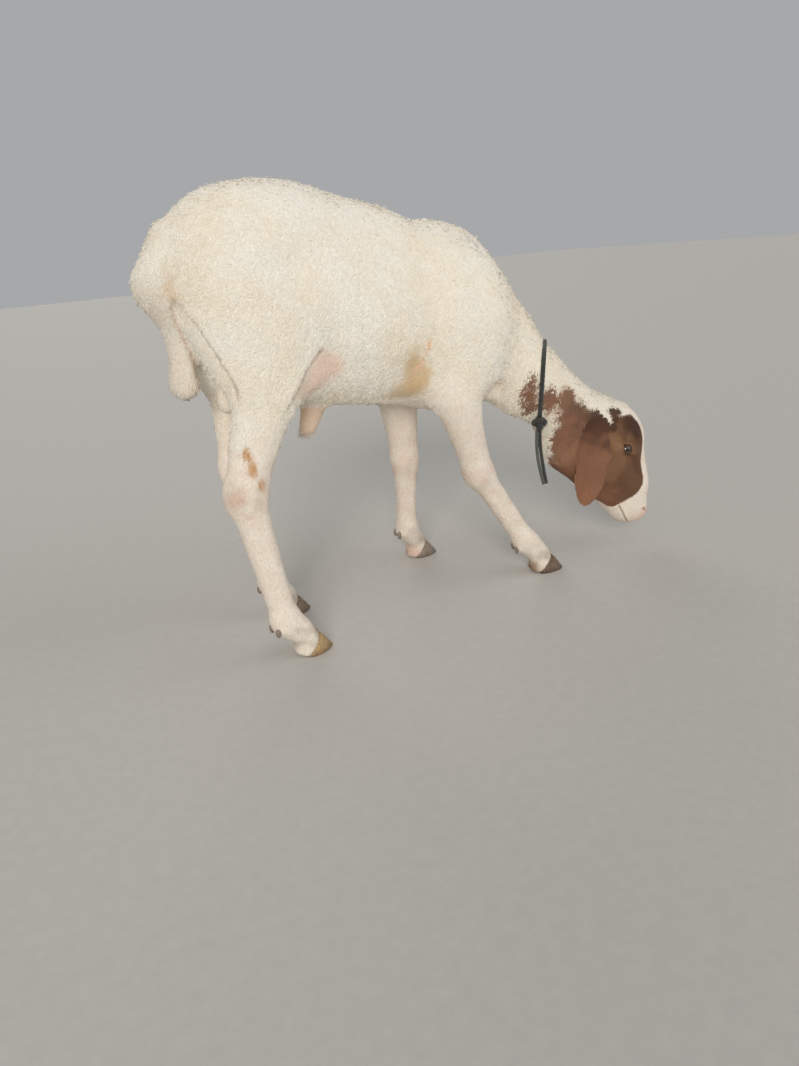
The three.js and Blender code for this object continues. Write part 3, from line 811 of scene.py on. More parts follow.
faceStyle = {
    "box": ((-40, -75, -140), (260, 75, 999)),  # where the head is, in its own millimetres
    "slit": (1.0, 0, 0.05),  # along the eyelids, towards the nose, in the head's axes
    "gaze": (0.12, 0.95, 0.28),
    "lid": 0.0013,
    "lidReach": 0.035,  # lids and their creases end this far from the middle of the eye
    "half": 0.78,  # half the slit's length, over the eye's radius
    "upper": 0.60,
    "lower": 0.46,
    "mouth": [(222, 0, -50), (216, 12, -51), (205, 21, -53), (189, 26, -54), (174, 28, -55)],
    "nostril": [(227, 4, -31), (224, 10, -24), (217, 17, -18), (209, 21, -17), (203, 23, -20)],
    "philtrum": [(229, 0, -25), (229, 0, -37), (225, 0, -49)],
}


def mirrored(rows, side):
    return np.array([(x, side * y, z) for x, y, z in rows])


def eyeAxes(side):
    axes = headFrame["axes"]
    gaze = unit(mirrored([faceStyle["gaze"]], side)[0] @ axes)
    slit = unit(np.array(faceStyle["slit"]) @ axes)
    slit = unit(slit - gaze * (slit @ gaze))
    up = np.cross(gaze, slit)
    up *= np.sign(up @ axes[2])
    return slit, up, gaze


def eyeEdge(points, node, side):  # how far a point is outside the slit, in eye radii, and the way to it
    slit, up, gaze = eyeAxes(side)
    away = points - middleOf(node)
    reach = np.linalg.norm(away, axis=1)
    way = away / reach[:, None]
    a, b, g = way @ slit, way @ up, way @ gaze
    half = faceStyle["half"]
    height = faceStyle["lower"] + (faceStyle["upper"] - faceStyle["lower"]) * blend(-0.05, 0.05, b)
    almond = height * np.clip(1 - (a / half) ** 2, 0, 1) ** 0.8
    beyond = np.hypot(np.clip(np.abs(a) - half, 0, 9), b)
    edge = np.where(np.abs(a) < half, np.abs(b) - almond, beyond)
    farOff = 9 * (g < 0) + 9 * (reach > faceStyle["lidReach"])
    return edge + farOff, reach, way, blend(0.0, 0.25, g) * (reach < faceStyle["lidReach"])


def openEye(points, edges, node, side):
    edge, reach, way, use = eyeEdge(points, node, side)
    lid = eyeRadius + faceStyle["lid"] * (1 + 0.35 * swell(edge - 0.05, 0.06))
    crease = 0.0010 * swell(edge - 0.32, 0.07)
    outer = lid + (reach - lid) * blend(0.10, 0.55, edge) - crease
    target = np.where(edge < 0, eyeRadius - 0.0025, outer)
    target = target + (outer - target) * blend(-0.05, 0.01, edge)
    points = points + way * ((target - reach) * use)[:, None]
    soft = 0.5 * blend(0.36, 0.5, edge) * (1 - blend(1.1, 1.6, edge)) * (reach < faceStyle["lidReach"])
    return evened(points, edges, 14, soft)


def onPiece(tree, line, steps=30):  # a smooth line laid on a surface
    return np.array([tree.find_nearest(Vector(p))[0] for p in smoothRoute(line, steps)[0]])


def onFace(tree, key, side=1):
    return onPiece(tree, fromHead(mirrored(faceStyle[key], side)), 40)


def treeOf(piece):
    mesh = piece.data
    return BVHTree.FromPolygons([v.co for v in mesh.vertices], [p.vertices for p in mesh.polygons])


faceForms = [  # place and reach in the head's own millimetres, and how far out
    ((72, 38, 13), (20, 14, 8), 2.2),  # the bone over the eye
    ((40, 40, 2), (16, 14, 14), -3.0),  # the hollow behind it
    ((104, 38, -10), (13, 12, 6), -2.6),  # the tear pit
    ((118, 38, -27), (34, 14, 7), 2.0),  # the cheek bone
    ((150, 30, -38), (26, 14, 12), -3.2),  # under it
    ((72, 48, -70), (26, 16, 22), 2.4),  # the jaw's muscle
    ((112, 34, -72), (12, 14, 22), -1.8),
    ((212, 21, -19), (9, 8, 8), 2.2),  # wing of the nostril
    ((204, 22, -41), (16, 10, 7), 1.6),  # upper lip
]


def shapeFace(skin):
    finerNear(skin, [(middleOf(node), 0.030) for node, side in eyes] + [(fromHead((205, 0, -28)), 0.050)])
    near = [(middleOf(node), 0.0175) for node, side in eyes]
    near += [(fromHead((218, side * 14, -14)), 0.016) for node, side in eyes]
    finerNear(skin, near + [(fromHead((226, 0, -36)), 0.014)])
    points, edges = places(skin), edgesOf(skin)
    h = inHead(points)
    low, high = faceStyle["box"]
    head = ((h > low) & (h < high)).all(1) & (points[:, 0] > 0.2)
    hold = blend(-40, 0, h[:, 0]) * head
    points = evened(points, edges, 3, 0.4 * hold)
    setPlaces(skin, points)
    normals = evened(normalsOf(skin), edges, 2)
    tree = treeOf(skin)
    h = inHead(points)
    up = headFrame["axes"][2]
    push = np.zeros(len(points))
    for node, side in eyes:
        for place, reach, out in faceForms:
            push += out * mound(h, place, reach, side)
        mouth = onFace(tree, "mouth", side)
        push -= 2.3 * swell(lineGap(points, mouth), 0.0017)
        push += 0.9 * swell(lineGap(points, mouth + up * 0.0038), 0.003)
        push += 0.8 * swell(lineGap(points, mouth - up * 0.0042), 0.003)
        gap = lineGap(points, onFace(tree, "nostril", side))
        push -= 6.5 * swell(gap, 0.0020)
        push += 1.3 * swell(gap - 0.0042, 0.0018)
    push -= 1.9 * swell(lineGap(points, onFace(tree, "philtrum")), 0.0014)
    points = points + normals * (push * head * mm)[:, None]
    for node, side in eyes:
        points = openEye(points, edges, node, side)
    setPlaces(skin, points)
    print("stage: face", len(points), "points")


folds = [  # on both sides, in mm; the higher side lies to the left of the way, seen from outside
    {"line": [(-388, 50, 534), (-389, 40, 510), (-386, 36, 491), (-377, 30, 470), (-368, 22, 450),
              (-360, 17, 428), (-357, 16, 408)], "crease": 5.0, "high": 2.0, "low": 3.5},
    {"line": [(-346, 94, 379), (-345, 96, 396), (-349, 93, 415), (-356, 87, 435), (-364, 84, 453),
              (-369, 76, 471), (-377, 70, 489), (-382, 56, 504), (-388, 49, 522)],
     "crease": 3.8, "high": 2.5, "low": 5.0},
    {"line": [(-205, 108, 442), (-218, 108, 435), (-233, 107, 424), (-244, 106, 410), (-252, 105, 395),
              (-263, 107, 383), (-273, 109, 372), (-279, 106, 359)], "crease": 4.5, "high": 2.5, "low": 4.5},
]
streak = [(-36, 110, 431), (-40, 108, 420), (-45, 103, 407), (-50, 97, 394), (-54, 92, 384)]


def bothSides(line):  # a line in mm and its mirror image, in metres, with the side's sign
    rows = np.array(line, dtype=float) * mm
    return [(rows * (1, side, 1), side) for side in (-1, 1)]


def foldAt(points, normals, line, side):
    # millimetres from a fold, positive on its high side, and the run along it
    far, run = np.full(len(points), 999.0), np.zeros(len(points))
    near = np.all((points > line.min(0) - 0.06) & (points < line.max(0) + 0.06), axis=1)
    p, n = points[near], normals[near]
    best, sign, along = np.full(len(p), 9.0), np.ones(len(p)), np.zeros(len(p))
    for k, (a, b) in enumerate(zip(line[:-1], line[1:])):
        way = b - a
        t = np.clip((p - a) @ way / (way @ way), 0, 1)
        off = p - a - t[:, None] * way
        reach = np.linalg.norm(off, axis=1)
        better = reach < best
        best = np.where(better, reach, best)
        sign = np.where(better, -side * np.sign((np.cross(way, n) * off).sum(1)), sign)
        along = np.where(better, (k + t) / (len(line) - 1), along)
    far[near] = best * sign / mm
    run[near] = along
    return far, run


bodyForms = [  # hollows and swellings: place in mm, reach in mm, how far out
    ((-236, 112, 556), (46, 40, 42), -11.0),  # flank hollow
    ((-236, 92, 612), (26, 26, 18), 4.0),  # point of the hip
    ((-196, 100, 436), (20, 30, 44), -6.0),  # in front of the stifle
    ((-60, 92, 388), (26, 34, 40), -7.0),  # armpit
    ((-26, 104, 428), (12, 26, 34), -3.0),
    ((-32, 108, 510), (22, 40, 60), -4.0),  # behind the shoulder blade
    ((62, 96, 470), (26, 26, 60), -3.0),  # before the shoulder blade
    ((20, 106, 470), (24, 24, 70), 3.0),  # the shoulder blade
    ((-262, 96, 452), (34, 30, 40), 2.5),  # thigh muscle
    ((-345, 62, 470), (20, 30, 60), -3.0),
    ((-120, 118, 470), (60, 30, 60), 2.0),  # ribs
]
legGrooves = {  # between bone and tendon: the joints it runs between, and how far behind their line
    "shank": (2, 3, -0.0075),
    "forearm": (1, 2, -0.013),
}


clawSplits = (  # in front and at the heel: depth in mm, and how far ahead of the pastern joint and above it
    (3.0, ((0.026, 0.012), (0.02, -0.012))),
    (2.4, ((-0.024, 0.004), (-0.024, -0.022))),
)


def footGrooves(leg):  # lines with their depth in mm and their width
    ahead = footAxes(leg)[1]
    joints = np.array(leg["joints"]) * mm
    for face in (-1, 1):
        for top, low, back in legGrooves.values():
            way = joints[low] - joints[top]
            yield [joints[top] + way * t + ahead * back + np.array((0, face * 0.02, 0))
                   for t in np.linspace(0.16, 0.86, 12)], 2.4, 0.0085
    pastern = np.array([joints[3] + ahead * -0.004 + np.array((0, 0, -0.004)), joints[4] + ahead * 0.004])
    for face in (-1, 1):
        yield pastern + np.array((0, face * 0.021, 0)), 1.6, 0.006
    for depth, rows in clawSplits:
        yield [joints[4] + ahead * far + np.array((0, 0, up)) for far, up in rows], depth, 0.0045


def shapeBody(skin):
    points, edges = places(skin), edgesOf(skin)
    normals = evened(normalsOf(skin), edges, 6)
    push = np.zeros(len(points))
    p = points / mm
    for side in (-1, 1):
        for place, reach, out in bodyForms:
            push += out * mound(p, place, reach, side)
    tree = treeOf(skin)
    for fold in folds:
        for line, side in bothSides(fold["line"]):
            far, run = foldAt(points, normals, onPiece(tree, line), side)
            ends = blend(0, 0.22, run) * blend(1.0, 0.82, run)
            push += ends * (fold["high"] * blend(0, 6, far) * blend(34, 8, far)
                            - fold["crease"] * swell(far, 4.5)
                            - fold["low"] * blend(0, -5, far) * blend(-38, -8, far))
    for leg in legs.values():
        for line, depth, width in footGrooves(leg):
            push -= depth * swell(lineGap(points, line), width)
    setPlaces(skin, points + normals * (push * mm)[:, None])
    print("stage: body forms")


def thinnedAndMapped(skin):
    behindHead = (places(skin)[:, 0] < 0.23).astype(float)
    share = evened(behindHead, edgesOf(skin), 12)
    group = skin.vertex_groups.new(name="thin")
    for level in range(1, 11):
        chosen = np.nonzero(np.round(share * 10).astype(int) == level)[0]
        group.add(chosen.tolist(), level / 10, "REPLACE")
    finishModifier(skin, "TRIANGULATE")
    finishModifier(skin, "DECIMATE", ratio=min(1.0, skinStyle["triangles"] / len(skin.data.polygons)),
                   vertex_group="thin", vertex_group_factor=1.0)
    skin.vertex_groups.clear()
    skin.data.uv_layers.new(name="OFBake")
    onWhole(skin, bpy.ops.uv.smart_project, angle_limit=math.radians(66), island_margin=0.002)
    print("stage: skin thinned and mapped,", len(skin.data.polygons), "triangles")


skin = bodyShape()
shapeFace(skin)
shapeBody(skin)
thinnedAndMapped(skin)
skinTree = treeOf(skin)
creases = [onPiece(skinTree, line) for fold in folds for line, side in bothSides(fold["line"])]
streaks = [onPiece(skinTree, line) for line, side in bothSides(streak)]


def creaseGap(points):  # millimetres from the nearest fold, away from its ends
    gap = np.full(len(points), 99.0)
    for line in creases:
        near = np.all((points > line.min(0) - 0.02) & (points < line.max(0) + 0.02), axis=1)
        gap[near] = np.minimum(gap[near], lineGap(points[near], line[3:-3]) / mm)
    return gap


# markings, the same for skin and coat

tones = {
    "cream": (0.885, 0.835, 0.735),
    "warm": (0.850, 0.750, 0.580),
    "leg": (0.850, 0.770, 0.665),
    "brown": (0.235, 0.112, 0.066),
    "ear": (0.285, 0.135, 0.080),
    "face": (0.150, 0.077, 0.043),
    "tan": (0.330, 0.180, 0.095),
    "dark": (0.070, 0.034, 0.021),
    "pale": (0.800, 0.730, 0.625),
    "pink": (0.810, 0.560, 0.455),
    "stain": (0.560, 0.310, 0.140),
    "orange": (0.690, 0.500, 0.280),
    "streak": (0.860, 0.540, 0.350),
    "heel": (0.300, 0.170, 0.090),
    "bare": (0.850, 0.665, 0.540),
    # greyish brown: soil on the feet, painted shade low on the forelegs and on the crown, and the greyer end
    # of the tail
    "dirt": (0.300, 0.235, 0.170),
    # painted shade for the creases
    "fold": (0.520, 0.380, 0.280),
}
brownNeck = [  # patches on the neck, in mm: place, reach
    ((185, -72, 312), (15, 30, 30)),
    ((193, -62, 288), (14, 26, 20)),
    ((222, -82, 294), (18, 30, 26)),
    ((250, -92, 290), (21, 30, 24)),
    ((262, -95, 262), (30, 34, 28)),
    ((276, -92, 230), (34, 40, 38)),
    ((262, 8, 262), (26, 30, 34)),
    ((300, 0, 235), (30, 26, 40)),
]
blaze = {  # where the white ends: millimetres down the face, degrees round from its top
    "x": (-10, 10, 21, 30, 45, 63, 90, 103, 115, 130, 146, 160, 168, 174),
    "spread": (64, 62, 57, 35, 30, 30, 34, 36, 46, 55, 60, 72, 104, 185),
}
jawLine = {"x": (40, 90, 120, 151, 168, 177, 190), "z": (-160, -145, -112, -84, -74, -56, -26)}
whiteTufts = [((-6, -42, -12), (9, 9, 7)), ((5, -43, -9), (9, 8, 6)), ((17, -43, -7), (8, 8, 5))]
darkTufts = [
    ((6, -34, 4), (10, 8, 8)),
    ((14, -31, 11), (8, 8, 7)),
    ((21, -41, 0), (8, 8, 7)),
    ((30, -46, -10), (9, 8, 9)),
]
stains = [  # on the coat: place, reach, tone, strength
    ((-343, -104, 322), (7, 12, 14), "stain", 1.0),
    ((-339, -104, 298), (7, 12, 14), "stain", 0.9),
    ((-331, -106, 275), (7, 12, 10), "stain", 0.9),
    ((-366, -98, 266), (17, 22, 26), "tan", 0.34),
    ((-338, -104, 252), (14, 14, 14), "tan", 0.2),
    ((-268, 96, 292), (8, 12, 12), "stain", 0.5),
    ((158, -92, 8), (26, 25, 20), "heel", 0.9),
    ((48, 122, 10), (30, 28, 26), "pink", 0.8),
    ((-387, -48, 540), (9, 18, 22), "streak", 0.65),
    ((-376, -60, 552), (44, 44, 40), "warm", 0.6),
    ((-352, -80, 520), (40, 40, 40), "warm", 0.6),
    ((-20, -110, 480), (70, 40, 90), "warm", 0.35),
    ((40, -90, 360), (50, 40, 50), "warm", 0.5),
]


def allOf(tone, points):
    return np.tile(np.array(tones[tone]), (len(points), 1))


def mixRows(rgb, tone, amount):
    return rgb + (np.array(tones[tone]) - rgb) * np.clip(amount, 0, 1)[:, None]


def brownness(points, kind):  # 1 in the brown markings, 0 in the white
    h = inHead(points)
    f = leftSide(h)
    x, y, z = f.T
    rough = waves(points, 0.016, 3) * 0.07 + waves(points, 0.006, 4) * 0.05
    rough = rough * (0.35 + 0.65 * blend(10, -30, x))
    brown = np.minimum(ball(f, (78, 0, -35), (112, 100, 105)), (x - 3 - 0.25 * np.clip(z, -60, 0)) / 60)
    for place, reach in (((30, 45, -80), (54, 36, 44)), ((6, 54, -26), (26, 24, 26))):
        brown = np.maximum(brown, ball(f, place, reach))
    for place, reach in brownNeck:
        brown = np.maximum(brown, ball(points / mm, place, reach))
    onNeck = blend(-8, -26, x)
    rough += onNeck * waves(points, 0.0035, 6) * 0.12
    angle = np.degrees(np.arctan2(y, z + 12))
    white = (np.interp(x, blaze["x"], blaze["spread"]) - angle) / 45
    white = np.where(x > -22, white, -1)
    white = np.maximum(white, np.where(x > 30, (np.interp(x, jawLine["x"], jawLine["z"]) - z) / 22, -1))
    for place, reach in whiteTufts:
        white = np.maximum(white, ball(h, place, reach))
    white = np.maximum(white, ball(f, (-24, 0, -130), (45, 49, 45)))
    white = np.maximum(white, ball(f, (160, 0, -90), (60, 12, 24)))
    marked = blend(-0.055 - 0.16 * onNeck, 0.055 + 0.28 * onNeck, brown + rough)
    marked *= 1 - blend(-0.06, 0.06, white + rough)
    for place, reach in darkTufts:
        marked = np.maximum(marked, blend(-0.1, 0.3, ball(h, place, reach) + rough))
    return np.where(isOn(kind, *earNodes), 1.0, marked)


earStyle = {"root": (8, 34, -16), "way": (114, 30, -104)}  # in the head's millimetres


def earRun(points):  # from 0 at an ear's root to 1 at its tip
    way = np.array(earStyle["way"])
    return np.clip((leftSide(inHead(points)) - earStyle["root"]) @ way / (way @ way), 0, 1)


def creamColour(points, kind, wool, patchy, fine):  # fleece, pale hair, stains and bare skin
    p = points / mm
    h = inHead(points)
    f = leftSide(h)
    rgb = allOf("cream", points)
    rgb = mixRows(rgb, "warm", 0.22 + 0.22 * patchy + 0.10 * fine)
    rgb = mixRows(rgb, "leg", (1 - wool) * 0.8)
    rgb = mixRows(rgb, "pink", (1 - wool) * (0.13 + 0.10 * fine) * blend(0.04, 0.08, points[:, 2]))
    rgb = mixRows(rgb, "pale", ball(f, (205, 0, -30), (70, 70, 60)) * 2)
    rgb = mixRows(rgb, "pink", 0.55 * blend(190, 226, h[:, 0]) * (h[:, 0] < 260) * (points[:, 0] > 0.25))
    for place, reach, tone, strength in stains:
        rgb = mixRows(rgb, tone, strength * blend(-0.2, 0.65, ball(p, place, reach) + 0.12 * fine))
    for place, reach, tone in barePlaces:
        strength = 0.95 if tone == "bare" else 0.85
        rgb = mixRows(rgb, tone, blend(-0.45, 0.75, ball(leftSide(p), place, reach) + 0.06 * fine) * strength)
    gap = np.minimum(*[lineGap(points, line) for line in streaks])
    rgb = mixRows(rgb, "streak", swell(gap, 0.0036 * (1 + 0.2 * fine)))
    # painted shade: darker along each crease
    rgb = mixRows(rgb, "fold", 0.75 * swell(creaseGap(points), 3.6))
    for node, tone, amount in (
            ("scrotum", "warm", 0.3), ("sheath", "orange", 0.45), ("sheath", "pink", 0.25)):
        rgb = mixRows(rgb, tone, amount * isOn(kind, node))
    # the end of the tail is mixed greyer and darker
    rgb = mixRows(rgb, "dirt", 0.20 * blend(-374, -398, p[:, 0]) * blend(600, 500, p[:, 2]))
    for leg in legs.values():  # pinkish knees and hocks, soiled feet
        knee, foot = ball(p, leg["joints"][2], (34, 34, 36)), ball(p, leg["joints"][4], (44, 34, 30))
        rgb = mixRows(rgb, "pink", 0.30 * blend(0, 0.6, knee + 0.15 * fine))
        rgb = mixRows(rgb, "dirt", 0.45 * blend(0, 0.8, foot + 0.2 * fine))
    # painted shade: the forelegs grow darker towards the feet
    fore = isOn(kind, "leg_front_right", "leg_front_left")
    rgb = mixRows(rgb, "dirt", 0.10 * fore * blend(400, 250, p[:, 2]))
    # painted shade: the neck behind the head is mixed warmer and darker, and the crown greyer and darker
    rgb = mixRows(rgb, "warm", 0.35 * blend(90, 150, p[:, 0]) * blend(40, -10, h[:, 0]))
    return mixRows(rgb, "dirt", 0.12 * blend(190, 260, p[:, 0]) * blend(60, 0, h[:, 0]))


def brownColour(points, kind, patchy, fine):  # face, ears and neck patches
    h = inHead(points)
    f = leftSide(h)
    coat = allOf("face", points)
    coat = mixRows(coat, "brown", blend(-20, 30, -h[:, 2] - 60 + 10 * fine))
    coat = mixRows(coat, "tan", 0.5 * blend(0, 0.8, ball(f, (54, 50, -18), (28, 20, 24)) + 0.1 * fine))
    coat = mixRows(coat, "tan", 0.5 * blend(0, 0.6, ball(f, (30, 32, -100), (40, 30, 30)) + 0.1 * fine))
    coat = mixRows(coat, "tan", 0.35 * blend(-0.2, 0.6, patchy))
    coat = mixRows(coat, "dark", blend(-0.25, 0.55, ball(f, (50, 24, 24), (36, 36, 26)) + 0.08 * fine))
    for place, reach in darkTufts:
        coat = mixRows(coat, "dark", 0.85 * blend(-0.2, 0.3, ball(h, place, reach)))
    coat = mixRows(coat, "dark", 0.35 * blend(0, 0.5, ball(f, (118, 34, 2), (34, 12, 12))))
    coat = mixRows(coat, "dark", 0.25 * blend(0.235, 0.20, points[:, 0]))
    ears = isOn(kind, *earNodes)
    ear = mixRows(allOf("ear", points), "dark", 0.94 * (1 - blend(0.15, 0.46, earRun(points) + 0.04 * fine)))
    ear = mixRows(ear, "face", 0.35 * blend(-0.2, 0.7, patchy))
    coat = np.where(ears[:, None], ear, coat)
    nearEar = blend(0, 0.4, ball(f, (8, 52, -26), (30, 26, 28)))
    return mixRows(coat, "dark", 0.8 * nearEar * ~ears)


def coatColour(points, kind, wool):
    patchy, fine = waves(points, 0.05, 11), waves(points, 0.012, 12)
    cream = creamColour(points, kind, wool, patchy, fine)
    brown = brownColour(points, kind, patchy, fine)
    return cream + (brown - cream) * brownness(points, kind)[:, None]


# the skin's finish

def skinMaterial():
    material, tree, shader = newMaterial("skinAndShortHair", {
        "Roughness": 0.78, "Sheen Weight": 0.03, "Sheen Roughness": 0.5, "Specular IOR Level": 0.12})
    woolly = attributeOf(tree, "woolly")
    down = noiseOf(tree, objectPlaces(tree, (1.0, 1.0, 0.16)), 950, 2, 0.6)
    faceTurn = Matrix(headFrame["axes"].tolist()).to_euler()
    along = noiseOf(tree, objectPlaces(tree, (0.2, 1.0, 1.0), tuple(faceTurn)), 1000, 2, 0.6)
    hair = blendOf(tree, attributeOf(tree, "onHead"), down, along)
    clumps = noiseOf(tree, objectPlaces(tree), 210, 3, 0.6)
    curls = addNode(tree, "ShaderNodeTexVoronoi", {
        "Vector": objectPlaces(tree), "Scale": 230.0}, feature="SMOOTH_F1").outputs["Distance"]
    fur = ramp(tree, hair, (0.25, (0.78, 0.76, 0.74)), (0.6, 1), (0.85, (1.10, 1.09, 1.08)))
    patch = ramp(tree, clumps, (0.3, (0.90, 0.88, 0.86)), (0.7, 1.05))
    shortHair = mathOf(tree, "SUBTRACT", 1.0, woolly)
    patchiness = mathOf(tree, "SUBTRACT", 0.8, times(tree, woolly, 0.7))
    colour = mixed(tree, "MULTIPLY", shortHair, attributeOf(tree, "coat", "Color"), fur)
    colour = mixed(tree, "MULTIPLY", patchiness, colour, patch)
    height = blendOf(tree, woolly, plus(tree, times(tree, hair, 0.35), times(tree, clumps, 0.5)), curls)
    wire(tree, shader, colour, height, 0.0022, 0.9)
    return material


def finishSkin():
    points = places(skin)
    kind = nearestNode(points, fleshNodes)
    edges = edgesOf(skin)
    wool = evened(woolliness(points, kind), edges, 4)
    rgb = coatColour(points, kind, wool)
    tree = treeOf(skin)
    for node, side in eyes:
        edge = eyeEdge(points, node, side)[0]
        rgb = mixRows(rgb, "dark", 0.92 * (1 - blend(0.06, 0.17, edge)))
        gap = lineGap(points, onFace(tree, "nostril", side))
        # painted shade: dark inside the nostril's slit
        rgb = mixRows(rgb, "dark", 0.85 * swell(gap, 0.0026))
        rgb = mixRows(rgb, "pink", 0.6 * swell(gap - 0.004, 0.004))
        # painted shade: dark along the mouth's crease
        rgb = mixRows(rgb, "dark", 0.6 * swell(lineGap(points, onFace(tree, "mouth", side)), 0.0016))
    addColour(skin, "coat", rgb)
    addNumber(skin, "woolly", wool)
    addNumber(skin, "onHead", evened(isOn(kind, "head", *earNodes).astype(float), edges, 4))
    skin.data.materials.append(skinMaterial())
    skin.data.polygons.foreach_set("use_smooth", np.ones(len(skin.data.polygons), dtype=bool))
    stands(skin, "wool", *fleshNodes)
    print("stage: skin finished")


finishSkin()


# eyes

eyeStyle = {
    "iris": ((0.3, (0.030, 0.014, 0.006)), (0.55, (0.085, 0.040, 0.014)), (0.8, (0.16, 0.082, 0.030))),
    "rim": ((0.0, 1), (0.78, 0.8), (0.90, (0.12, 0.1, 0.1)), (0.98, (0.20, 0.12, 0.09))),
    "pupil": (0.62, 0.25),  # half its length and height, over the iris's radius
    "black": (0.004, 0.004, 0.007),
    "fill": 0.975,  # of the node's own radius
    "swell": 0.07,  # how far the clear front stands out
    "irisRadius": 0.74,
}


def eyeMaterial():
    material, tree, shader = newMaterial("ramEye", {
        "Roughness": 0.25, "Coat Weight": 0.55, "Coat Roughness": 0.05})
    parts = addNode(tree, "ShaderNodeSeparateXYZ", {"Vector": mapOf(tree, "iris")})
    across, up = parts.outputs["X"], parts.outputs["Y"]
    reach = mathOf(tree, "SQRT", plus(tree, times(tree, across, across), times(tree, up, up)))
    angle = mathOf(tree, "ARCTAN2", up, across)
    fan = addNode(tree, "ShaderNodeCombineXYZ", {"X": times(tree, angle, 9.0), "Y": times(tree, reach, 2.0)})
    iris = ramp(tree, noiseOf(tree, fan.outputs[0], 2.0, 3), *eyeStyle["iris"])
    colour = mixed(tree, "MULTIPLY", 1.0, iris, ramp(tree, reach, *eyeStyle["rim"]))
    long, tall = (
        mathOf(tree, "POWER", mathOf(tree, "ABSOLUTE", mathOf(tree, "DIVIDE", value, half)), power)
        for value, half, power in zip((across, up), eyeStyle["pupil"], (3.4, 3.0)))
    pupil = ramp(tree, plus(tree, long, tall), (0.0, 1), (0.85, 1), (1.0, 0))
    wire(tree, shader, mixed(tree, "MIX", pupil, colour, eyeStyle["black"]))
    return material


def makeEye(node, side, material):
    gaze = eyeAxes(side)[2]
    level = unit(np.cross((0, 0, 1.0), gaze))
    rise = np.cross(gaze, level)
    bpy.ops.object.select_all(action="DESELECT")
    bpy.ops.mesh.primitive_uv_sphere_add(segments=64, ring_count=40, radius=1.0)
    piece = bpy.context.object
    piece.name = piece.data.name = node + "_ball"
    rows = places(piece)
    flat = rows[:, :2].copy()
    front = np.exp(-((np.linalg.norm(flat, axis=1) / 0.62) ** 4)) * (rows[:, 2] > 0)
    turned = rows[:, :1] * level + rows[:, 1:2] * rise + rows[:, 2:] * gaze
    turned *= (1 + eyeStyle["swell"] * front)[:, None]
    setPlaces(piece, middleOf(node) + turned * eyeRadius * eyeStyle["fill"])
    piece.data.uv_layers.remove(piece.data.uv_layers[0])
    chart = flat / eyeStyle["irisRadius"]
    chart[rows[:, 2] < 0] = (1.4, 1.4)
    addMap(piece, "iris", chart)
    piece.data.materials.append(material)
    pick(piece)
    bpy.ops.object.shade_smooth()
    stands(piece, "eye", node)


eyeFinish = eyeMaterial()
for node, side in eyes:
    makeEye(node, side, eyeFinish)
print("stage: eyes")


# hooves and dewclaws

hornStyle = {
    "front_right": ((0.215, 0.130, 0.075), (0.085, 0.055, 0.038)),
    "front_left": ((0.330, 0.270, 0.205), (0.165, 0.130, 0.100)),
    "hind_right": ((0.520, 0.345, 0.150), (0.260, 0.165, 0.085)),
    "hind_left": ((0.300, 0.215, 0.135), (0.140, 0.100, 0.070)),
    "dewclaws": ((0.300, 0.235, 0.185), (0.150, 0.115, 0.090)),
    "cell": 0.0013,
    "dewclawCell": 0.0010,
    "tuck": 0.005,  # how far the horn goes up under the hair
    "inset": 0.0028,  # how far it lies inside the solids there
    "rings": 0.00022,  # depth of the growth rings
    "sole": 0.0009,  # what is lower than this lies flat on the floor
}


def hornMaterial(name, tone, dark):
    material, tree, shader = newMaterial(name)
    streaks = noiseOf(tree, objectPlaces(tree, (1, 1, 0.12)), 330, 4, 0.6)
    rings = noiseOf(tree, objectPlaces(tree, (0.12, 0.12, 1)), 560, 3, 0.55)
    blotch = noiseOf(tree, objectPlaces(tree), 75, 4, 0.6)
    height = addNode(tree, "ShaderNodeSeparateXYZ", {
        "Vector": addNode(tree, "ShaderNodeTexCoord").outputs["Object"]}).outputs["Z"]
    colour = mixed(tree, "MIX", ramp(tree, streaks, (0.3, 0), (0.72, 1)), dark, tone)
    colour = mixed(tree, "MIX", ramp(tree, blotch, (0.48, 0), (0.75, 0.8)), colour, dark)
    soil = ramp(tree, mathOf(tree, "DIVIDE", height, 0.03), (0.0, (0.42, 0.38, 0.34)), (0.35, 1))
    colour = mixed(tree, "MULTIPLY", 0.85, colour, soil)
    wire(tree, shader, colour, plus(tree, rings, times(tree, streaks, 0.6)), 0.0012, 0.7)
    rough = addNode(tree, "ShaderNodeMapRange", {"Value": blotch, "To Min": 0.38, "To Max": 0.62})
    tree.links.new(rough.outputs[0], shader.inputs["Roughness"])
    return material


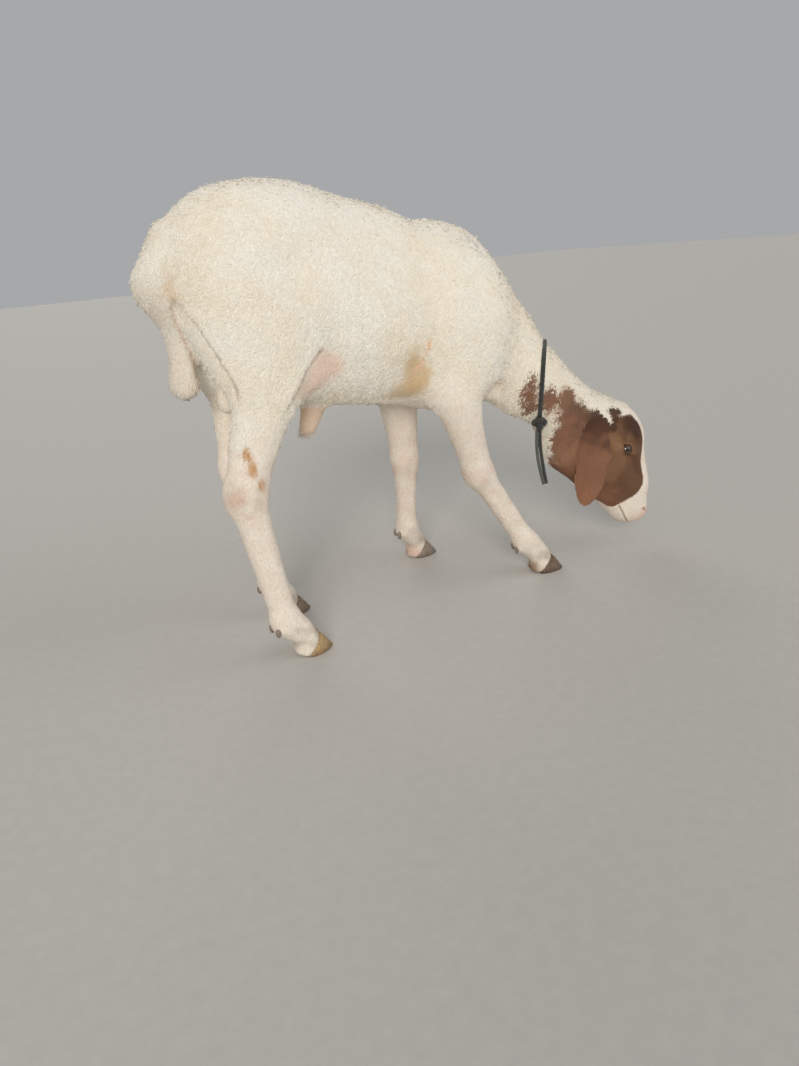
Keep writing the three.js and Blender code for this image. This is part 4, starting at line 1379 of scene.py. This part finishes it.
def makeHoof(legName, half, material):
    node = f"hoof_{legName}_{half}"
    piece = mergedCopy([node], node + "_horn")
    remeshed(piece, hornStyle["cell"])
    points, edges = places(piece), edgesOf(piece)
    points = evened(points, edges, 7)
    foot, ahead = footAxes(legs[legName])
    top = 0.0236 + 0.38 * ((points - foot) @ ahead)  # how high the horn goes
    up = blend(0.80, 1.0, points[:, 2] / top)
    middle = foot + points * (0, 0, 1)
    points = points + (middle - points) * (0.10 * up[:, None]) + np.outer(up, (0, 0, hornStyle["tuck"]))
    inside = 1 - blend(-0.003, 0.003, beforeHairLine(points, legs[legName]))
    points = points - normalsOf(piece) * (hornStyle["inset"] * inside)[:, None]
    height = points[:, 2] / top
    rings = hornStyle["rings"] * np.sin(height * 26 + waves(points, 0.02, 8)) * blend(0.1, 0.3, height)
    points += normalsOf(piece) * (rings * (1 - up))[:, None]
    points[points[:, 2] < hornStyle["sole"], 2] = 0
    setPlaces(piece, points)
    piece.data.materials.append(material)
    pick(piece)
    bpy.ops.object.shade_smooth_by_angle(angle=math.radians(50))
    stands(piece, "horn", node)


dewclawStyle = {
    "slim": np.array((0.70, 0.70, 0.86)),  # against the node, to leave room for the hair
    "taper": 0.30,  # slimmer again at its tip
    "ahead": 0.0016,
    "down": 0.0012,
}


def makeDewclaw(legName, half, material):
    node = f"dewclaw_{legName}_{half}"
    piece = mergedCopy([node], node + "_horn")
    remeshed(piece, hornStyle["dewclawCell"])
    points = evened(places(piece), edgesOf(piece), 6)
    middle = points.mean(0)
    ahead = footAxes(legs[legName])[1]
    low = blend(0.004, -0.010, points[:, 2] - middle[2])
    slim = dewclawStyle["slim"] * (1 - dewclawStyle["taper"] * low[:, None] * (1, 1, 0))
    shift = ahead * dewclawStyle["ahead"] + np.array((0, 0, -dewclawStyle["down"]))
    setPlaces(piece, middle + (points - middle) * slim + shift)
    piece.data.materials.append(material)
    pick(piece)
    bpy.ops.object.shade_smooth()
    stands(piece, "horn", node)


dewclawFinish = hornMaterial("dewclaws", *hornStyle["dewclaws"])
for legName in legs:
    hornFinish = hornMaterial("horn_" + legName, *hornStyle[legName])
    for half in ("right", "left"):
        makeHoof(legName, half, hornFinish)
        makeDewclaw(legName, half, dewclawFinish)
print("stage: hooves and dewclaws")


# the coat: thousands of small closed locks

coatStyle = {
    "wool": {"rings": (0.0, 0.38, 0.74), "wide": (0.9, 1.0, 0.6), "spacing": 0.00215, "flat": 0.36,
             "length": (0.0056, 0.0080), "height": (0.0007, 0.0022), "width": (0.0020, 0.0028),
             "turns": (0.25, 0.7), "curl": 0.0014, "arch": 0.70, "stray": 0.42, "sink": 0.0008,
             "shade": (0.92, 0.09), "vary": 0.035, "soft": 0.53},
    "hair": {"rings": (0.0, 0.5), "wide": (0.9, 1.0), "spacing": 0.0026, "flat": 0.28,
             "length": (0.0052, 0.0066), "height": (0.0003, 0.0007), "width": (0.0011, 0.0015),
             "turns": (0.0, 0.15), "curl": 0.0002, "arch": 0.45, "stray": 0.12, "sink": 0.0003,
             "shade": (0.91, 0.13), "vary": 0.09, "soft": 0.55},
    "perPiece": {"wool": 12300, "hair": 19500},
    "patch": 0.003,  # size of a lock's place on the OFBake map
    "lidEdge": 0.14,  # no locks nearer to the slit, in eye radii
    "collarEdge": 0.0052,  # nor to the collar's line
    "foldEdge": 2.2,  # nor to a fold, in mm
    "strewn": (0.0030, 0.0012),  # unevenness of the markings' edges on the neck and on the body
    "uneven": {"length": (0.8, 1.2), "height": (0.7, 1.25), "width": (0.85, 1.2)},
    "standOut": (0.93, 1.9),  # the locks past this share of all are so much higher
    "neck": 0.40,  # how much higher they are on the neck
    "ear": 0.72,  # length on the ears
    "face": (0.45, 0.25),  # how much shorter and slimmer they are on the face
    "foot": 0.30,  # and shorter on the feet
    "wisp": (3.0, 2.5, 0.3),  # longer, higher and slimmer at the end of the sheath
}


def skinTriangles():
    chart = rowsOf(skin.data.uv_layers["OFBake"].data, "uv", 2, np.float32)
    return rowsOf(skin.data.polygons, "vertices", 3, np.int32), chart.reshape(-1, 3, 2)


def scatter(spacing, allowed, dice):  # even random roots on the skin, at least the spacing apart
    points, normals = places(skin), normalsOf(skin)
    faces, chart = skinTriangles()
    a, b, c = points[faces[:, 0]], points[faces[:, 1]], points[faces[:, 2]]
    area = np.linalg.norm(np.cross(b - a, c - a), axis=1) / 2
    area *= allowed[faces].mean(1) > dice.random(len(faces))
    count = int(area.sum() / spacing**2 * 4)
    run = np.cumsum(area)
    face = np.searchsorted(run, dice.uniform(0, run[-1], count))
    u, v = dice.random((2, count))
    over = u + v > 1
    u[over], v[over] = 1 - u[over], 1 - v[over]
    weights = np.stack([1 - u - v, u, v], axis=1)
    spots = np.einsum("nk,nkd->nd", weights, points[faces[face]])
    tree = KDTree(count)
    for k, spot in enumerate(spots):
        tree.insert(spot, k)
    tree.balance()
    free = np.ones(count, dtype=bool)
    keep = []
    for k, spot in enumerate(spots):
        if free[k]:
            keep.append(k)
            free[[near[1] for near in tree.find_range(spot, spacing)]] = False
    face, weights, spots = face[keep], weights[keep], spots[keep]
    normal = unit(np.einsum("nk,nkd->nd", weights, normals[faces[face]]))
    place = np.einsum("nk,nkd->nd", weights, chart[face])
    return spots, normal, place


def lieOf(points, normals, kind):  # which way the coat lies
    axes = headFrame["axes"]
    flow = np.tile(np.array((-0.42, 0, -1.0)), (len(points), 1))
    flow[isOn(kind, "head") & (inHead(points)[:, 0] > 15)] = axes[0] * 0.9 - axes[2] * 0.55
    flow[isOn(kind, "neck")] = (-0.55, 0.0, -0.75)
    for name, side in zip(earNodes, (-1, 1)):
        flow[isOn(kind, name)] = mirrored([earStyle["way"]], side)[0] @ axes
    flow[isOn(kind, *("leg_" + name for name in legs))] = (-0.12, 0, -1.0)
    flow[isOn(kind, "tail")] = (-0.1, 0, -1.0)
    flow = flow - normals * (flow * normals).sum(1)[:, None]
    sideways = unit(np.cross(normals, unit(flow)))
    swirl = waves(points, 0.03, 21) * 0.45
    return unit(unit(flow) + sideways * swirl[:, None]), sideways


def locks(name, style, roots, normals, lie, chart, rgb, length, height, width, dice):
    count = len(roots)
    side = np.cross(normals, lie)
    stray = dice.normal(scale=style["stray"], size=count)
    lay = unit(lie * np.cos(stray)[:, None] + side * np.sin(stray)[:, None])
    side = np.cross(normals, lay)
    turns = dice.uniform(*style["turns"], count) * dice.choice((-1, 1), count)
    start = dice.uniform(0, 2 * math.pi, count)
    spin = dice.uniform(0, 2 * math.pi, count)
    curl = style["curl"] * dice.uniform(0.6, 1.3, count)
    rings = np.array(style["rings"])
    wide = np.array(style["wide"])
    around = np.arange(3) * 2 * math.pi / 3

    def middleAt(t):  # up in an arch and over, so that the tip tucks in
        up = height * np.sin(math.pi * (0.06 + style["arch"] * t)) - style["sink"] * (1 - t)
        bend = curl * t
        phase = start + 2 * math.pi * turns * t
        return (roots + normals * up[:, None] + lay * (length * t ** 1.15)[:, None]
                + side * (bend * np.cos(phase))[:, None])

    rows = []
    for t, fat in zip(rings, wide):
        way = unit(middleAt(min(1, t + 0.12)) - middleAt(max(0, t - 0.05)))
        across = unit(side - way * (side * way).sum(1)[:, None])
        out = np.cross(across, way)
        centre = middleAt(t)
        for turn in around:
            angle = turn + spin * 0.25
            rows.append(centre + across * (np.cos(angle) * width * fat / 2)[:, None]
                        + out * (np.sin(angle) * width * fat / 2 * style["flat"])[:, None])
    rows.append(middleAt(1.0))
    points = np.stack(rows, axis=1)
    points[..., 2] = np.maximum(points[..., 2], lowest)
    per = points.shape[1]
    shape = [(0, 1, 2)]
    for ring in range(len(rings) - 1):
        for k in range(3):
            a, b = ring * 3 + k, ring * 3 + (k + 1) % 3
            shape += [(a, b + 3, b), (a, a + 3, b + 3)]
    last = (len(rings) - 1) * 3
    shape += [(last + (k + 1) % 3, last + k, per - 1) for k in range(3)]
    faces = np.array(shape)[None] + (np.arange(count) * per)[:, None, None]
    piece = meshFrom(name, points.reshape(-1, 3), faces.reshape(-1, 3))
    along = np.concatenate([np.repeat(rings, 3), [1.0]])
    # painted shade and light: each lock is darker at its root and lighter where its arch stands highest,
    # times a random brightness of its own
    raised = np.sin(math.pi * (0.06 + style["arch"] * along))
    least, more = style["shade"]
    light = dice.uniform(1 - style["vary"], 1 + style["vary"], count)[:, None]
    light = (least + more * raised)[None, :] * light
    addColour(piece, "coat", (rgb[:, None, :] * light[..., None]).reshape(-1, 3))
    disc = (1 - along * 0.98)[:, None] * coatStyle["patch"] / 2
    spoke = np.concatenate([np.tile(around, len(rings)), [0.0]])
    spread = disc * np.stack([np.cos(spoke), np.sin(spoke)], axis=1)
    addMap(piece, "OFBake", (chart[:, None, :] + spread[None]).reshape(-1, 2))
    own, below = normalsOf(piece), np.repeat(normals, per, axis=0)
    share = style["soft"] * blend(-0.75, 0.05, (own * below).sum(1))[:, None]
    piece.data.normals_split_custom_set_from_vertices(unit(own + (below - own) * share).tolist())
    return piece


def coatMaterial(name, fine, sheen):
    material, tree, shader = newMaterial(name, {
        "Roughness": 0.9, "Sheen Weight": sheen, "Sheen Roughness": 0.6, "Specular IOR Level": 0.10})
    strand = noiseOf(tree, objectPlaces(tree), fine, 3, 0.65)
    tint = ramp(tree, strand, (0.28, (0.84, 0.82, 0.79)), (0.55, 1), (0.8, (1.06, 1.06, 1.05)))
    colour = mixed(tree, "MULTIPLY", 1.0, attributeOf(tree, "coat", "Color"), tint)
    wire(tree, shader, colour, strand, 0.0007, 0.6)
    return material


def coatRoots(style, allowed, dice):  # where the locks stand, with all that is known of each place
    roots, normals, chart = scatter(style["spacing"], allowed, dice)
    kind = nearestNode(roots, fleshNodes)
    keep = np.ones(len(roots), dtype=bool)
    for node, side in eyes:
        keep &= eyeEdge(roots, node, side)[0] > coatStyle["lidEdge"]
    gap, fold = collarGap(roots, 0.02), creaseGap(roots)
    keep &= (gap > coatStyle["collarEdge"]) & (fold > coatStyle["foldEdge"])
    return [rows[keep] for rows in (roots, normals, chart, kind, woolliness(roots, kind), gap, fold)]


def lockSizes(style, roots, kind, thick, gap, fold, dice):  # length, height and width of each lock
    speck = dice.uniform(size=len(roots))
    long, high, width = (
        (style[key][0] + (style[key][1] - style[key][0]) * thick) * dice.uniform(*limits, len(roots))
        for key, limits in coatStyle["uneven"].items())
    high *= 1 + 0.22 * waves(roots, 0.006, 23)
    share, taller = coatStyle["standOut"]
    high *= np.where(speck > share, taller, 1.0)
    high *= 1 + coatStyle["neck"] * blend(0.06, 0.12, roots[:, 0])
    long *= np.where(isOn(kind, *earNodes), coatStyle["ear"], 1.0)
    face = blend(60, 200, inHead(roots)[:, 0]) * isOn(kind, "head")
    shorter, slimmer = coatStyle["face"]
    long *= 1 - shorter * face
    width *= 1 - slimmer * face
    high *= np.clip(gap / 0.014, 0.4, 1) * np.clip(fold / 12, 0.4, 1)
    long *= np.clip(fold / 9, 0.45, 1)
    long *= 1 - coatStyle["foot"] * blend(0.060, 0.035, roots[:, 2])
    wisp = isOn(kind, "sheath") * blend(0.326, 0.310, roots[:, 2])
    longer, higher, slimmer = coatStyle["wisp"]
    return long * (1 + longer * wisp), high * (1 + higher * wisp), width * (1 - slimmer * wisp)


def growCoat():
    dice = np.random.default_rng(41)
    skinPoints = places(skin)
    wool = evened(woolliness(skinPoints, nearestNode(skinPoints, fleshNodes)), edgesOf(skin), 4)
    woolShare = blend(0.22, 0.36, wool)
    bare = bareness(skinPoints)
    made = 0
    for coat, slot, share, thinned, finish in (
        ("wool", "wool", woolShare, 0.97, coatMaterial("curlyWool", 1400, 0.16)),
        ("hair", "short_hair", 1 - woolShare, 0.5, coatMaterial("shortHair", 1800, 0.03)),
    ):
        style = coatStyle[coat]
        roots, normals, chart, kind, thick, gap, fold = coatRoots(style, share * (1 - bare * thinned), dice)
        strewn = np.where(np.abs(roots[:, :1] - 0.18) < 0.06, *coatStyle["strewn"]) * (roots[:, :1] < 0.24)
        strewn = roots + dice.normal(size=roots.shape) * strewn
        rgb = coatColour(strewn, kind, thick)
        sizes = lockSizes(style, roots, kind, thick, gap, fold, dice)
        lie, sideways = lieOf(roots, normals, kind)
        curly = thick * waves(roots, 0.007, 22) * 0.7
        lie = unit(lie * np.cos(curly)[:, None] + sideways * np.sin(curly)[:, None])
        order = np.argsort(roots[:, 0], kind="stable")
        parts = max(1, math.ceil(len(order) / coatStyle["perPiece"][coat]))
        for k, chosen in enumerate(np.array_split(order, parts)):
            rows = [values[chosen] for values in (roots, normals, lie, chart, rgb, *sizes)]
            piece = locks(f"{coat}_{k + 1}", style, *rows, dice)
            piece.data.materials.append(finish)
            piece.visible_shadow = False
            piece.visible_diffuse = False
            stands(piece, slot)
            made += len(piece.data.polygons)
        print("stage: coat,", coat, len(roots), "locks in", parts, "pieces")
    print("stage: coat,", made, "triangles")


growCoat()
